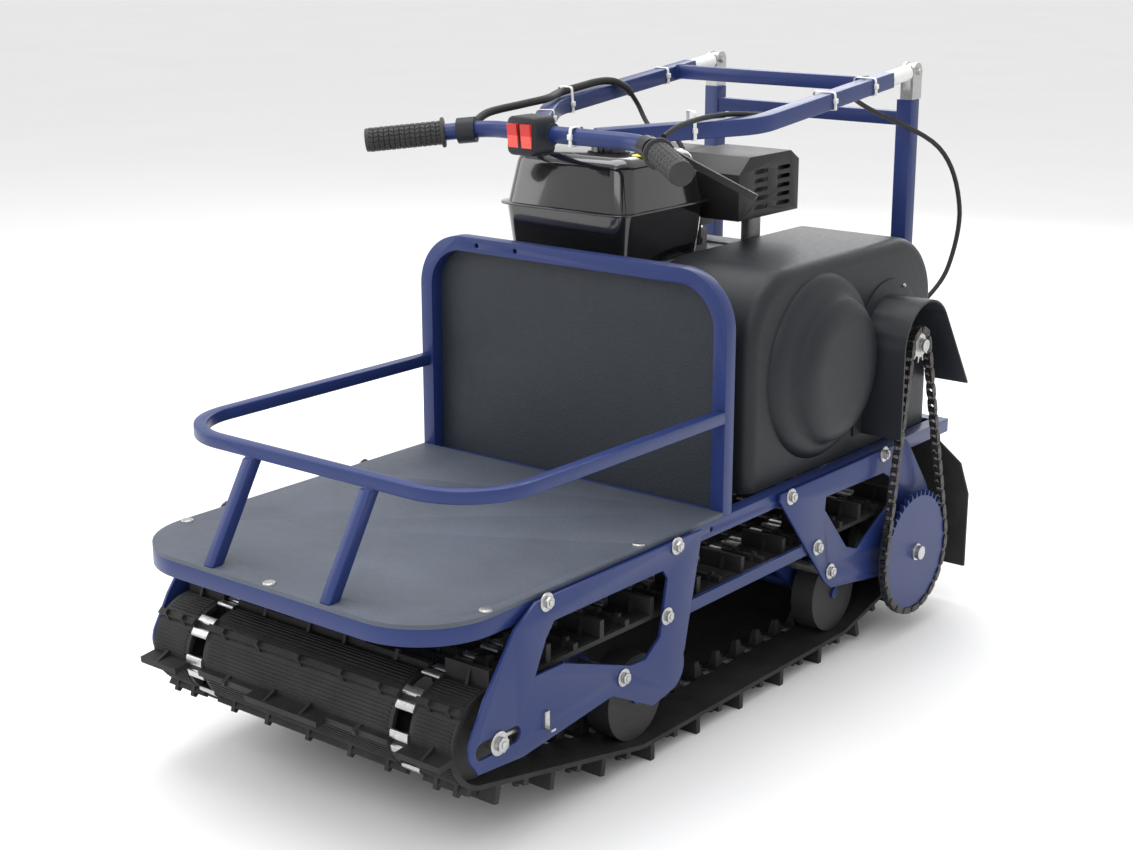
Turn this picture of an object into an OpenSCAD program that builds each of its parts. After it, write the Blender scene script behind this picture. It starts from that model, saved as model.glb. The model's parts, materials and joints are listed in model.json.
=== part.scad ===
// Tracked motor carrier: a petrol engine drives one wide rubber track by V-belt and chain.
// Frame: +Z up, front towards -Y, origin on the ground under the middle of the track.

/* [Track] */
// Width of the rubber track
track_w = 500; // [420:10:600]
// Distance between the front and rear track rollers
ground_len = 473; // [400:1:560]
// Thickness of the track carcass
belt_t = 6; // [4:0.5:8]
// Height of the ground lugs
lug_h = 22; // [16:1:28]
// Distance from one lug row to the next
track_pitch = 50; // [46:1:56]
// Radius of the front idler wheels
idler_r = 52; // [44:1:58]
// Radius of the track rollers
roller_r = 56; // [44:1:60]
// Teeth on each track drive wheel
track_teeth = 8; // [8:1:8]
// Height of the idler axle above the ground
idler_z = 142; // [120:1:160]
// Height of the drive axle above the ground
drive_z = 122; // [115:1:135]

/* [Chassis] */
// Room between the track's edge and the outer face of the side rails
side_gap = 7; // [5:0.5:20]
// Side of the square frame tube
tube = 20; // [16:1:25]
// Height of the rail tops above the ground
rail_z = 287.6; // [275:0.2:320]
// How far the front rim stands ahead of the idler axle
front_overhang = 95; // [90:1:160]
// How far the frame runs on behind the drive axle
rear_overhang = 144; // [136:1:180]
// Radius of the front corners
corner_r = 100; // [60:5:140]
// Thickness of the side plates
plate_t = 4; // [3:0.5:6]
// Thickness of the cargo deck board
deck_t = 5.5; // [4:0.5:12]

/* [Rails above the deck] */
// Height of the backrest hoop above the ground
hoop_z = 599; // [500:1:700]
// Outer corner radius of the backrest hoop
hoop_r = 75; // [50:5:110]
// Room between the backrest and the fuel tank
backrest_gap = 38; // [30:1:60]
// Side of the square guard rail tube
guard_tube = 16; // [12:1:20]
// Height of the guard rail centre above the ground
guard_z = 417; // [380:1:470]
// How far the guard rail front stands behind the deck front
guard_setback = 82; // [60:1:120]

/* [Drive] */
// Chain pitch
chain_pitch = 12.7; // [12.7:0.1:12.7]
// Teeth on the driven sprocket
big_teeth = 44; // [44:4:44]
// Teeth on the jackshaft sprocket
small_teeth = 11; // [11:1:11]
// Number of chain links
chain_links = 78; // [76:2:84]
// Radius of the drive axle
axle_r = 12.5; // [10:0.5:15]
// Radius of the jackshaft
jack_r = 10; // [8:0.5:12]
// Radius of the engine crankshaft
crank_r = 12.5; // [10:0.5:13]
// Radial running clearance of shafts in their bearings
run_gap = 0.05; // [0.02:0.01:0.1]
// Width across the belt pulleys
pulley_w = 58; // [50:1:60]

/* [Handlebar] */
// Distance between the two uprights, middle to middle
upright_gap = 340; // [300:2:380]
// Height of the fold pivots above the ground
fold_z = 800; // [780:1:840]
// Radius of the handlebar tube
bar_r = 11; // [10:0.5:13]
// Radius of the hand grips
grip_r = 16; // [15:0.5:18]
// Length of the hand grips
grip_len = 118; // [100:1:130]

/* [Hidden] */
$fn = 48;
gap = 0.4;               // air between parts that move past each other
paint = "#22346f";
rubber = "#1c1d1f";
zinc = "#c9cdd2";
black_steel = "#17181a";

// ---- shared shapes ----
// extrudes a Y-Z outline from x0 to x1
module extrude_x(x0, x1) translate([x0, 0, 0]) rotate([90, 0, 90]) linear_extrude(x1 - x0) children();
// extrudes an X-Z outline from y0 to y1
module extrude_y(y0, y1) translate([0, y1, 0]) rotate([90, 0, 0]) linear_extrude(y1 - y0) children();
// extrudes an X-Y outline from z0 to z1
module extrude_z(z0, z1) translate([0, 0, z0]) linear_extrude(z1 - z0) children();
module rod_x(x0, x1, y, z, r) translate([x0, y, z]) rotate([0, 90, 0]) cylinder(h = x1 - x0, r = r);
module box(a, b) translate(a) cube(b - a);
module both_sides() { children(); mirror([1, 0, 0]) children(); }
function yaw(d) = atan2(d[1], d[0]);
function tilt(d) = acos(d[2] / norm(d));
module round_bar(a, b, r) translate(a) rotate([0, tilt(b - a), yaw(b - a)]) cylinder(h = norm(b - a), r = r);
module square_bar(a, b, w) translate(a) rotate([0, tilt(b - a), yaw(b - a)])
  translate([-w / 2, -w / 2, 0]) cube([w, w, norm(b - a)]);
// rectangle with its four corners rounded by r
module round_rect(a, b, r) {
  translate([a[0] + r, a[1]]) square([b[0] - a[0] - 2 * r, b[1] - a[1]]);
  translate([a[0], a[1] + r]) square([b[0] - a[0], b[1] - a[1] - 2 * r]);
  for (x = [a[0] + r, b[0] - r]) for (y = [a[1] + r, b[1] - r]) translate([x, y]) circle(r);
}
// a slab whose far two corners are round: half width w, from y0 to y1, corners at y0
module round_front(w, y0, y1, r) {
  translate([-w, y0 + r]) square([2 * w, y1 - y0 - r]);
  translate([-w + r, y0]) square([2 * (w - r), r]);
  for (s = [-1, 1]) translate([s * (w - r), y0 + r]) circle(r);
}
// a round tube through chosen points, swept as one skin
function turn(p, i) = let(n = len(p)) i == 0 ? p[1] - p[0] : i == n - 1 ? p[n - 1] - p[n - 2]
  : (p[i] - p[i - 1]) / norm(p[i] - p[i - 1]) + (p[i + 1] - p[i]) / norm(p[i + 1] - p[i]);
function unit(v) = v / norm(v);
function side_of(d) = unit(cross(d, abs(unit(d)[2]) > 0.9 ? [1, 0, 0] : [0, 0, 1]));
module hose(points, r, sides = 8) {
  ring = [for (i = [0 : len(points) - 1]) let(d = unit(turn(points, i)), u = side_of(d), v = cross(d, u))
    for (k = [0 : sides - 1]) points[i] + r * (u * cos(360 * k / sides) + v * sin(360 * k / sides))];
  last = (len(points) - 1) * sides;
  faces = concat([[for (k = [0 : sides - 1]) k]], [[for (k = [sides - 1 : -1 : 0]) last + k]],
    [for (i = [0 : len(points) - 2]) for (k = [0 : sides - 1]) let(n = (k + 1) % sides)
      [i * sides + k, (i + 1) * sides + k, (i + 1) * sides + n, i * sides + n]]);
  polyhedron(points = ring, faces = faces);
}
// smooth curve through hand-chosen points, steps points per stretch
function mid(a, b, c, d, t) = 0.5 * (2 * b + (c - a) * t + (2 * a - 5 * b + 4 * c - d) * t * t
  + (3 * b - a - 3 * c + d) * t * t * t);
function smooth(p, steps) = let(n = len(p)) concat([for (i = [0 : n - 2]) for (k = [0 : steps - 1])
  mid(p[max(i - 1, 0)], p[i], p[i + 1], p[min(i + 2, n - 1)], k / steps)], [p[n - 1]]);

// ---- closed loops round wheels: each wheel is [y, z, r], taken counter-clockwise ----
function wheel_gap(a, b) = norm([b[0] - a[0], b[1] - a[1]]);
function leave(a, b) = atan2(b[1] - a[1], b[0] - a[0]) - acos((a[2] - b[2]) / wheel_gap(a, b));
function nxt(w, i) = w[(i + 1) % len(w)];
function prv(w, i) = w[(i + len(w) - 1) % len(w)];
function run(w, i) = sqrt(pow(wheel_gap(w[i], nxt(w, i)), 2) - pow(w[i][2] - nxt(w, i)[2], 2));
function wrap(w, i) = (leave(w[i], nxt(w, i)) - leave(prv(w, i), w[i]) + 720) % 360;
function sum(v, i = 0) = i < len(v) ? v[i] + sum(v, i + 1) : 0;
function loop_len(w) = sum([for (i = [0 : len(w) - 1]) run(w, i) + wrap(w, i) * PI / 180 * w[i][2]]);
// place at distance s from where the loop leaves wheel i: [y, z, outward angle]
function at(w, s, i = 0) = let(a = w[i], b = nxt(w, i), q = leave(a, b), r = run(w, i),
  m = wrap(w, (i + 1) % len(w)) * PI / 180 * b[2])
  s < r ? [a[0] + a[2] * cos(q) - s * sin(q), a[1] + a[2] * sin(q) + s * cos(q), q]
  : s < r + m ? let(t = q + (s - r) / b[2] * 180 / PI) [b[0] + b[2] * cos(t), b[1] + b[2] * sin(t), t]
  : at(w, s - r - m, (i + 1) % len(w));
// the loop's outline, its arcs in steps of about 4 degrees
module loop_area(w, grow) polygon([for (i = [0 : len(w) - 1]) let(a = w[i], n = ceil(wrap(w, i) / 4))
  for (k = [0 : n]) let(q = leave(prv(w, i), a) + k * wrap(w, i) / n)
    [a[0] + (a[2] + grow) * cos(q), a[1] + (a[2] + grow) * sin(q)]]);
module loop_band(w, out, in) difference() { loop_area(w, out); loop_area(w, -in); }

// ---- track layout ----
half_t = belt_t / 2;
run_z = lug_h + belt_t;                        // inside of the track on the ground
roller_z = run_z + roller_r + gap;
roller_shift = 23.5;                           // the rollers sit a little behind the origin
roller_y = [roller_shift - ground_len / 2, roller_shift + ground_len / 2];
drive_y = roller_y[1] + 135;
drive_r = track_teeth * track_pitch / (2 * PI) - half_t - gap;
drive_wheel = [drive_y, drive_z, drive_r + gap + half_t];
idler_nominal = roller_y[0] - 302;
function track_wheels(y) = [[roller_y[0], roller_z, roller_r + gap + half_t],
  [roller_y[1], roller_z, roller_r + gap + half_t], drive_wheel, [y, idler_z, idler_r + gap + half_t]];
front_len = front_overhang - idler_nominal;
rear_len = drive_y + rear_overhang;
rows = round(loop_len(track_wheels(idler_nominal)) / track_pitch);
function settle(y, n) = n == 0 ? y
  : settle(y - (rows * track_pitch - loop_len(track_wheels(y))) / 2, n - 1);
idler_y = settle(idler_nominal, 6);            // the tensioners take up the rest
wheels = track_wheels(idler_y);
window_x = 172;                                // rows of drive windows
window_w = 26;
window_l = 30;
roller_x = [197, 232];
first_row = -roller_y[0];                      // puts one lug row on the origin
function row(k) = at(wheels, (first_row + k * track_pitch) % (rows * track_pitch));

// ---- drive layout ----
function sprocket_r(n) = chain_pitch / 2 / sin(180 / n);
big_r = sprocket_r(big_teeth);
small_r = sprocket_r(small_teeth);
jack_dy = -17;                                 // jackshaft behind or before the drive axle
function links(c) = let(lean = asin((big_r - small_r) / c))
  2 * sqrt(c * c - pow(big_r - small_r, 2)) / chain_pitch
  + (big_teeth * (180 + 2 * lean) + small_teeth * (180 - 2 * lean)) / 360;
function centre_for(c, n) = n == 0 ? c
  : centre_for(c + (chain_links - links(c)) * chain_pitch / 2, n - 1);
shaft_gap = centre_for(315, 8);
jack_y = drive_y + jack_dy;
jack_z = drive_z + sqrt(shaft_gap * shaft_gap - jack_dy * jack_dy);
crank_y = jack_y - 183;
tank_front = crank_y - 212;
hoop_y = tank_front - backrest_gap;
crank_z = jack_z - 4;
frame_w = track_w + 2 * side_gap;
plate_x = frame_w / 2 + 9;                     // outer face of the side plates
chain_x = plate_x + 20.5;                      // middle of the chain
belt_x = 175;                                  // middle of the variator belt
hood_side = 235;                               // outer face of the hood
hood_in = 60;
hood_wall = 3;
hood_y = [crank_y - 170, rear_len - 27];
hood_z = [rail_z + 0.4, 575];
bulge_r = 112;
bulge_out = 38;                                // how far the bulge stands out of the hood
base_z = crank_z - 106;                        // feet of the engine

// ---- handlebar layout, folded forward over the engine ----
fold_y = rear_len - 9;
arm_x = upright_gap / 2 + 2;
arm_tube = 22;
arm_end = [arm_x, fold_y, fold_z];
arm_bend = [arm_x, fold_y - 405, fold_z - 42];
bar_y = fold_y - 601;
bar_z = fold_z - 50;
arm_front = [50, bar_y + 4, bar_z];
bar_turn = [124, bar_y, bar_z];                // where the bar bends back to the grip
grip_in = [165, bar_y - 22, bar_z - 5];
grip_dir = unit([92, -74, -12]);
grip_out = grip_in + grip_len * grip_dir;
lever_pivot = [158, bar_y + 8, bar_z - 5];
lever_tip = [286, bar_y + 10, bar_z - 52];
lever_dir = unit(lever_tip - lever_pivot);
lever_axis = unit(cross(lever_dir, grip_dir));
// angles that turn x to d and z to n
function aim(d, n) = let(c = yaw(d), b = -asin(d[2]), y1 = [-sin(c), cos(c), 0], z1 = cross(d, y1))
  [atan2(-(n * y1), n * z1), b, c];

// ---- chassis: a bent rim, and the cross tubes that carry the backrest, engine and uprights ----
cross_y = [hoop_y, crank_y - 90, jack_y - 50, jack_y + 50, rear_len - tube / 2];
module chassis_frame() color(paint) {
  difference() {
    extrude_z(rail_z - tube, rail_z) difference() {
      round_front(frame_w / 2, -front_len, rear_len, corner_r);
      round_front(frame_w / 2 - tube, tube - front_len, rear_len + 1, corner_r - tube);
    }
    both_sides() rod_x(frame_w / 2 - tube - 1, frame_w / 2 + 1, -90, rail_z - tube / 2, 3.5);
  }
  hitch();
}
module cross_tubes() color(paint) {
  for (y = cross_y)
    box([tube - frame_w / 2, y - tube / 2, rail_z - tube], [frame_w / 2 - tube, y + tube / 2, rail_z]);
  lower_rails();
}
module drive_stands() color(paint) {
  engine_mount();
  jackshaft_stands();
}
lower_z = [182, 198];
module lower_rails() both_sides()
  box([plate_x - plate_t - 6, -170, lower_z[0]], [plate_x - plate_t, 170, lower_z[1]]);
// two channels that carry the engine's feet over the cross tubes
module engine_mount() for (x = [-125, 50]) difference() {
  box([x, cross_y[1] - 15, rail_z], [x + 40, cross_y[2] + 12, base_z]);
  box([x + 4, cross_y[1] - 16, rail_z - 1], [x + 36, cross_y[2] + 13, base_z - 5]);
}
stand_x = [92, 222];                           // inner faces of the two jackshaft stands
stand_t = 5;
module jackshaft_stands() for (x = stand_x) extrude_x(x, x + stand_t) difference() {
  union() {
    translate([jack_y, jack_z]) circle(50);
    polygon([[jack_y - 60, rail_z], [jack_y + 60, rail_z],
      [jack_y + 49, jack_z + 8], [jack_y - 49, jack_z + 8]]);
  }
  translate([jack_y, jack_z]) circle(jack_r + 3);
}
hitch_r = 8.25;
hitch_y = rear_len + 44;
hitch_t = 6;
module hitch() for (z = [rail_z - tube, rail_z - hitch_t]) difference() {
  extrude_z(z, z + hitch_t) {
    translate([0, hitch_y]) circle(20);
    translate([-20, rear_len]) square([40, hitch_y - rear_len]);
  }
  translate([0, hitch_y, z - 1]) cylinder(h = hitch_t + 2, r = hitch_r);
}

// outline of the front side plate, with the slot for the idler axle
slot_half = 28;
module front_plate_outline() difference() {
  union() {
    polygon([[roller_y[0] - 233, rail_z], [roller_y[0] - 270, 266], [idler_y - 21, 201], [idler_y - 46, 158],
      [idler_y - 46, 138], [idler_y - 34, 116], [idler_y + 42, 110], [roller_y[0] - 92, 127],
      [roller_y[0] - 10, 86], [roller_y[0] + 32, 94], [roller_y[0] + 56, 140], [roller_y[0] + 70, 200],
      [roller_y[0] + 90, rail_z]]);
    translate([idler_y - 18, idler_z + 4]) circle(30);
    translate([roller_y[0] + 24, 124]) circle(31);
  }
  polygon([[roller_y[0] - 202, 257], [roller_y[0] + 8, 257], [roller_y[0] + 18, 244], [roller_y[0] + 4, 172],
    [roller_y[0] - 26, 152], [roller_y[0] - 56, 154], [roller_y[0] - 184, 199], [roller_y[0] - 236, 200],
    [roller_y[0] - 216, 240]]);
  translate([idler_y - slot_half, idler_z]) circle(axle_hole);
  translate([idler_y + slot_half, idler_z]) circle(axle_hole);
  translate([idler_y - slot_half, idler_z - axle_hole]) square([2 * slot_half, 2 * axle_hole]);
  translate([pivot_y[0], pivot_z]) circle(pivot_r + 0.2);
}
idler_axle_r = 10;
axle_hole = idler_axle_r + 0.3;
pivot_y = [roller_y[0] - 71, roller_y[1] - 69];
pivot_z = 144;
pivot_r = 8;
module front_side_plates() color(paint) both_sides()
  extrude_x(plate_x - plate_t, plate_x) front_plate_outline();

module rear_plate_outline() difference() {
  polygon([[roller_y[1] - 201, rail_z], [roller_y[1] - 203, 278], [roller_y[1] - 82, 132],
    [roller_y[1] - 64, 118], [drive_y - 36, 92], [drive_y, 76], [drive_y + 44, 84],
    [drive_y + 72, 120], [drive_y + 84, 175], [drive_y + 68, 205], [drive_y + 2, rail_z]]);
  polygon([[roller_y[1] - 86, 256], [roller_y[1] + 70, 253], [roller_y[1] + 94, 240], [roller_y[1] + 90, 200],
    [roller_y[1] + 4, 157], [roller_y[1] - 26, 168], [roller_y[1] - 88, 238]]);
  translate([drive_y, drive_z]) circle(axle_r + 4);
  translate([pivot_y[1], pivot_z]) circle(pivot_r + 0.2);
}
module rear_side_plates() color(paint) both_sides()
  extrude_x(plate_x - plate_t, plate_x) rear_plate_outline();

// ---- deck, guard rail and backrest ----
deck_z = rail_z + deck_t;
board_t = 4;
module cargo_deck() color("#3a3f47") difference() {
  extrude_z(rail_z, deck_z) round_front(frame_w / 2, -front_len, hoop_y - tube / 2, corner_r);
  for (p = screw_spots) translate([p[0], p[1], rail_z - 1]) cylinder(h = deck_t + 2, r = 3);
}
screw_spots = [for (s = [-1, 0, 1]) for (y = [tube / 2 - front_len, -front_len + corner_r, -230])
  if (abs(s) == 1 ? y > 15 - front_len : y < -front_len + 20) [s * (frame_w / 2 - tube / 2), y]];
module deck_screws() for (p = screw_spots) translate([p[0], p[1], rail_z]) {
  cylinder(h = deck_t, r = 3);
  translate([0, 0, deck_t]) cylinder(h = 1.6, r = 6);
}
guard_front = guard_setback - front_len;
guard_half = 250;
post_x = 96;
module guard_rail() color(paint) {
  extrude_z(guard_z - guard_tube / 2, guard_z + guard_tube / 2) difference() {
    round_front(guard_half + guard_tube / 2, guard_front - guard_tube / 2, hoop_y - tube / 2, 100);
    round_front(guard_half - guard_tube / 2, guard_front + guard_tube / 2, hoop_y, 100 - guard_tube);
  }
  for (s = [-1, 1]) intersection() {
    square_bar([s * post_x, 4 - front_len, deck_z - 12], [s * post_x, guard_front + 2, guard_z],
      guard_tube);
    box([-200, -front_len - 20, deck_z], [200, guard_front + 20, guard_z - guard_tube / 2]);
  }
}
hoop_half = frame_w / 2;
module hoop_shape(inset) extrude_y(hoop_y - tube / 2 - inset, hoop_y + tube / 2 + inset)
  mirror([0, 1]) round_front(hoop_half - inset, inset - hoop_z, inset - rail_z, hoop_r - inset);
acc_hole_x = [-153, -85];
acc_hole_r = 3.5;
module backrest_hoop() color(paint) difference() {
  hoop_shape(0);
  extrude_y(hoop_y - tube, hoop_y + tube)
    mirror([0, 1]) round_front(hoop_half - tube, tube - hoop_z, 1 - rail_z, hoop_r - tube);
  for (x = acc_hole_x) translate([x, hoop_y - tube, hoop_z - tube / 2]) rotate([-90, 0, 0])
    cylinder(h = 2 * tube, r = acc_hole_r);
}
module backrest_board() color("#3a3f47") extrude_y(hoop_y + tube / 2, hoop_y + tube / 2 + board_t)
  mirror([0, 1]) round_front(hoop_half - 5, 5 - hoop_z, -rail_z, hoop_r - 5);

// ---- track ----
ridge_h = 8;
lug_l = 8;
block_half = 60;                               // half width of the middle ground block
// one slice of the track, with drive windows of length open; every second lug row is h high
module track_slice(x0, x1, h, open) extrude_x(x0, x1) difference() {
  union() {
    loop_band(wheels, half_t, half_t);
    if (h > 0) for (k = [0 : rows - 1]) translate([row(k)[0], row(k)[1]]) rotate(row(k)[2])
      translate([0, -lug_l / 2]) square([half_t + (k % 2 == 0 ? h : ridge_h), lug_l]);
  }
  if (open > 0) for (k = [0 : rows - 1]) let(p = row(k + 0.5)) translate([p[0], p[1]]) rotate(p[2])
    translate([-belt_t, -open / 2]) square([2 * belt_t, open]);
}
track_slices = [[0, block_half, lug_h, 0], [block_half, window_x - window_w / 2, ridge_h, 0],
  [window_x - window_w / 2, window_x + window_w / 2, 0, window_l],
  [window_x + window_w / 2, track_w / 2, lug_h, 0]];
module track_belt() color(rubber) for (t = track_slices) {
  if (t[0] == 0) track_slice(-t[1], t[1], t[2], t[3]);
  else both_sides() track_slice(t[0], t[1], t[2], t[3]);
}
module roller_pair(y, z, r, bore) difference() {
  both_sides() rod_x(roller_x[0], roller_x[1], y, z, r);
  rod_x(-250, 250, y, z, bore);
}
module idler_wheels() color(rubber) difference() {
  union() {
    roller_pair(idler_y, idler_z, idler_r, 1);
    rod_x(-roller_x[0], roller_x[0], idler_y, idler_z, 24);
  }
  rod_x(-250, 250, idler_y, idler_z, idler_axle_r + run_gap);
}
// the fixed axles across the track: the idler's and the two arm pivots
module track_axles() color(zinc) {
  rod_x(-plate_x, plate_x, idler_y, idler_z, idler_axle_r);
  for (y = pivot_y) rod_x(-plate_x, plate_x, y, pivot_z, pivot_r);
}
// tab and screw behind each plate that push the idler axle forward, with a hook outside
module track_tensioners() color(zinc) both_sides() {
  hook_y = idler_y + 78;
  screw_x = plate_x - plate_t - 6;
  round_bar([screw_x, idler_y + axle_hole, idler_z], [screw_x, hook_y, idler_z], 4);
  box([plate_x - plate_t - 12, hook_y, idler_z - 8], [plate_x - plate_t, hook_y + 4, idler_z + 8]);
  box([plate_x, hook_y, idler_z - 12], [plate_x + 3, hook_y + 8, idler_z + 10]);
  box([plate_x, hook_y, idler_z - 12], [plate_x + 12, hook_y + 8, idler_z - 9]);
}
arm_at = 182;
module roller_arm(y, p) difference() {
  union() {
    rod_x(-arm_at - 5, arm_at + 5, p, pivot_z, pivot_r + 6);
    both_sides() extrude_x(arm_at - 5, arm_at + 5) {
      translate([p, pivot_z]) circle(18);
      translate([y, roller_z]) circle(18);
      translate([p, pivot_z]) rotate(atan2(roller_z - pivot_z, y - p))
        translate([0, -17]) square([norm([y - p, roller_z - pivot_z]), 34]);
    }
    rod_x(-236, 236, y, roller_z, 8);
  }
  rod_x(-250, 250, p, pivot_z, pivot_r + run_gap);
}
module front_roller_arm() color(paint) roller_arm(roller_y[0], pivot_y[0]);
module rear_roller_arm() color(paint) roller_arm(roller_y[1], pivot_y[1]);
module front_rollers() color(rubber) roller_pair(roller_y[0], roller_z, roller_r, 8 + run_gap);
module rear_rollers() color(rubber) roller_pair(roller_y[1], roller_z, roller_r, 8 + run_gap);

// ---- track drive ----
module drive_axle() color(zinc) {
  rod_x(-plate_x - 18, chain_x + 5.5, drive_y, drive_z, axle_r);
  rod_x(chain_x + 5.5, chain_x + 13, drive_y, drive_z, 10);
}
// drive teeth meet the windows of the track where it wraps the wheel
wrap_start = leave(wheels[1], wheels[2]);
wrap_s = run(wheels, 0) + wrap(wheels, 1) * PI / 180 * wheels[1][2] + run(wheels, 1);
tooth_step = 360 / track_teeth;
window_s = (first_row + track_pitch / 2) % track_pitch;
tooth_turn = wrap_start + ((window_s - wrap_s) / track_pitch) * tooth_step;
tooth_h = 9;                                   // the teeth end just under the carcass
module track_drive_wheels() color(black_steel) difference() {
  both_sides() {
    extrude_x(window_x - 6, window_x + 6) translate([drive_y, drive_z]) {
      circle(drive_r - tooth_h);
      for (k = [0 : track_teeth - 1]) rotate(tooth_turn + k * tooth_step)
        polygon([[drive_r - tooth_h - 4, -11], [drive_r - gap, -7],
          [drive_r - gap, 7], [drive_r - tooth_h - 4, 11]]);
    }
    rod_x(window_x - 20, window_x + 20, drive_y, drive_z, 26);
    rod_x(210, 222, drive_y, drive_z, drive_r);
    rod_x(60, 72, drive_y, drive_z, drive_r);
  }
  rod_x(-300, 300, drive_y, drive_z, axle_r);
}
tooth_root = 5;
module sprocket(y, z, n, phase, r, bore) difference() {
  extrude_x(chain_x - 3.2, chain_x + 3.2) translate([y, z]) {
    circle(r - tooth_root);
    for (k = [0 : n - 1]) rotate(phase + (k + 0.5) * 360 / n)
      polygon([[r - tooth_root - 1, -2], [r + 2.6, -0.8], [r + 2.6, 0.8], [r - tooth_root - 1, 2]]);
  }
  if (bore > 0) rod_x(0, chain_x + 20, y, z, bore);
}
// the chain: plates all round, and rollers on its two straight runs, clear of the turning teeth
chain_wheels = [[drive_y, drive_z, big_r], [jack_y, jack_z, small_r]];
q_up = leave(chain_wheels[0], chain_wheels[1]);
chain_run = run(chain_wheels, 0);
up_links = chain_run / chain_pitch;
small_phase = q_up + (ceil(up_links) - up_links) * 360 / small_teeth;
function run_spot(i, s) = let(w = chain_wheels[i], q = leave(w, nxt(chain_wheels, i)))
  [w[0] + w[2] * cos(q) - s * sin(q), w[1] + w[2] * sin(q) + s * cos(q)];
module drive_chain() color("#3a3a3c") {
  for (i = [0, 1]) for (k = [3 : floor(up_links) - 2])
    let(p = run_spot(i, i == 0 ? k * chain_pitch : chain_run - k * chain_pitch))
      rod_x(chain_x - 6, chain_x + 6, p[0], p[1], 4.1);
  for (x = [chain_x - 5.6, chain_x + 3.8]) extrude_x(x, x + 1.8) loop_band(chain_wheels, 4.6, 4.6);
}
module driven_sprocket() color(paint) difference() {
  union() {
    sprocket(drive_y, drive_z, big_teeth, q_up, big_r, 0);
    rod_x(plate_x + 15, chain_x, drive_y, drive_z, 22);
  }
  rod_x(0, 400, drive_y, drive_z, axle_r);
}
module flange_bearing(x0, x1, y, z, r) difference() {
  union() {
    rod_x(x0, x0 + 4, y, z, r + 24);
    rod_x(x0, x1, y, z, r + 12);
  }
  rod_x(x0 - 1, x1 + 1, y, z, r + run_gap);
}
module flange_bearings() color(zinc) {
  both_sides() flange_bearing(plate_x, plate_x + 14, drive_y, drive_z, axle_r);
  flange_bearing(stand_x[0] + stand_t, stand_x[0] + stand_t + 12, jack_y, jack_z, jack_r);
  mirror([1, 0, 0]) flange_bearing(-stand_x[1], 12 - stand_x[1], jack_y, jack_z, jack_r);
}

// ---- jackshaft, brake and belt drive ----
module jackshaft() color(zinc) difference() {
  union() {
    rod_x(stand_x[0] - 8, chain_x + 8, jack_y, jack_z, jack_r);
    rod_x(chain_x + 3.2, chain_x + 12, jack_y, jack_z, 9);
    sprocket(jack_y, jack_z, small_teeth, small_phase, small_r, 0);
  }
}
belt_half = 11;
module pulley(y, z, r, core, bore) difference() {
  union() {
    rod_x(belt_x - pulley_w / 2, belt_x - belt_half - 2, y, z, r);
    rod_x(belt_x + belt_half + 2, belt_x + pulley_w / 2, y, z, r);
    rod_x(belt_x - pulley_w / 2, belt_x + pulley_w / 2, y, z, core);
  }
  rod_x(0, 400, y, z, bore);
}
drive_pulley_r = 78;
driven_pulley_r = 88;
belt_wheels = [[crank_y, crank_z, 40], [jack_y, jack_z, 72]];
module drive_pulley() color("#55585c") pulley(crank_y, crank_z, drive_pulley_r, 30, crank_r);
module driven_pulley() color("#55585c") pulley(jack_y, jack_z, driven_pulley_r, 62, jack_r);
module variator_belt() color(rubber)
  extrude_x(belt_x - belt_half, belt_x + belt_half) loop_band(belt_wheels, 6, 6);
disc_x = 122;
module brake_disc() color(zinc) difference() {
  union() {
    rod_x(disc_x, disc_x + 4, jack_y, jack_z, 66);
    rod_x(disc_x, disc_x + 14, jack_y, jack_z, 20);
  }
  rod_x(0, 400, jack_y, jack_z, jack_r);
}
// caliper above and behind the jackshaft, straddling the disc
module brake_caliper() color(black_steel) difference() {
  union() {
    box([disc_x - 14, jack_y + 30, jack_z + 12], [disc_x + 14, jack_y + 80, jack_z + 52]);
    box([stand_x[0] + stand_t, jack_y + 30, jack_z + 24], [disc_x - 14, jack_y + 50, jack_z + 34]);
  }
  rod_x(disc_x - 1.5, disc_x + 5.5, jack_y, jack_z, 67.5);
}

// ---- engine ----
module engine_block() color(black_steel) difference() {
  union() {
    box([-105, crank_y - 88, base_z + 12], [85, crank_y + 96, crank_z + 92]);
    for (x = [-104, 55]) box([x, crank_y - 88, base_z], [x + 35, crank_y + 96, base_z + 12]);
    rod_x(85, 97, crank_y, crank_z, 58);
    box([-60, crank_y + 20, crank_z + 92], [40, crank_y + 150, crank_z + 118]);
    for (x = [-90, 50]) box([x, crank_y - 80, crank_z + 92], [x + 16, crank_y - 40, tank_z[0]]);
  }
  box([-97, crank_y - 80, base_z + 20], [77, crank_y + 88, crank_z + 84]);
  rod_x(-106, 120, crank_y, crank_z, crank_r + run_gap);
}
// finned barrel and head, leaning back from the crankcase
module cylinder_head() color("#6c7075") difference() {
  translate([-10, crank_y + 90, crank_z + 40]) rotate([25, 0, 0]) {
    translate([-45, 0, -45]) cube([90, 84, 90]);
    for (k = [0 : 6]) translate([-58, 6 + 12 * k, -55]) cube([116, k == 6 ? 14 : 6, 110]);
  }
  box([-106, crank_y - 89, base_z], [86, crank_y + 96, crank_z + 118]);
  box([-61, crank_y + 20, crank_z + 80], [41, crank_y + 150, crank_z + 118]);
  translate([port_at[0], port_at[1], crank_z + 118]) cylinder(h = 60, r = port_r + 0.3);
}
port_at = [40, crank_y + 120];                 // exhaust port
port_r = 14;
module crankshaft() color(zinc) {
  rod_x(-186, belt_x + pulley_w / 2 + 8, crank_y, crank_z, crank_r);
  rod_x(belt_x + pulley_w / 2, belt_x + pulley_w / 2 + 7, crank_y, crank_z, 18);
}
fan_r = 100;
recoil_r = 78;
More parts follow.
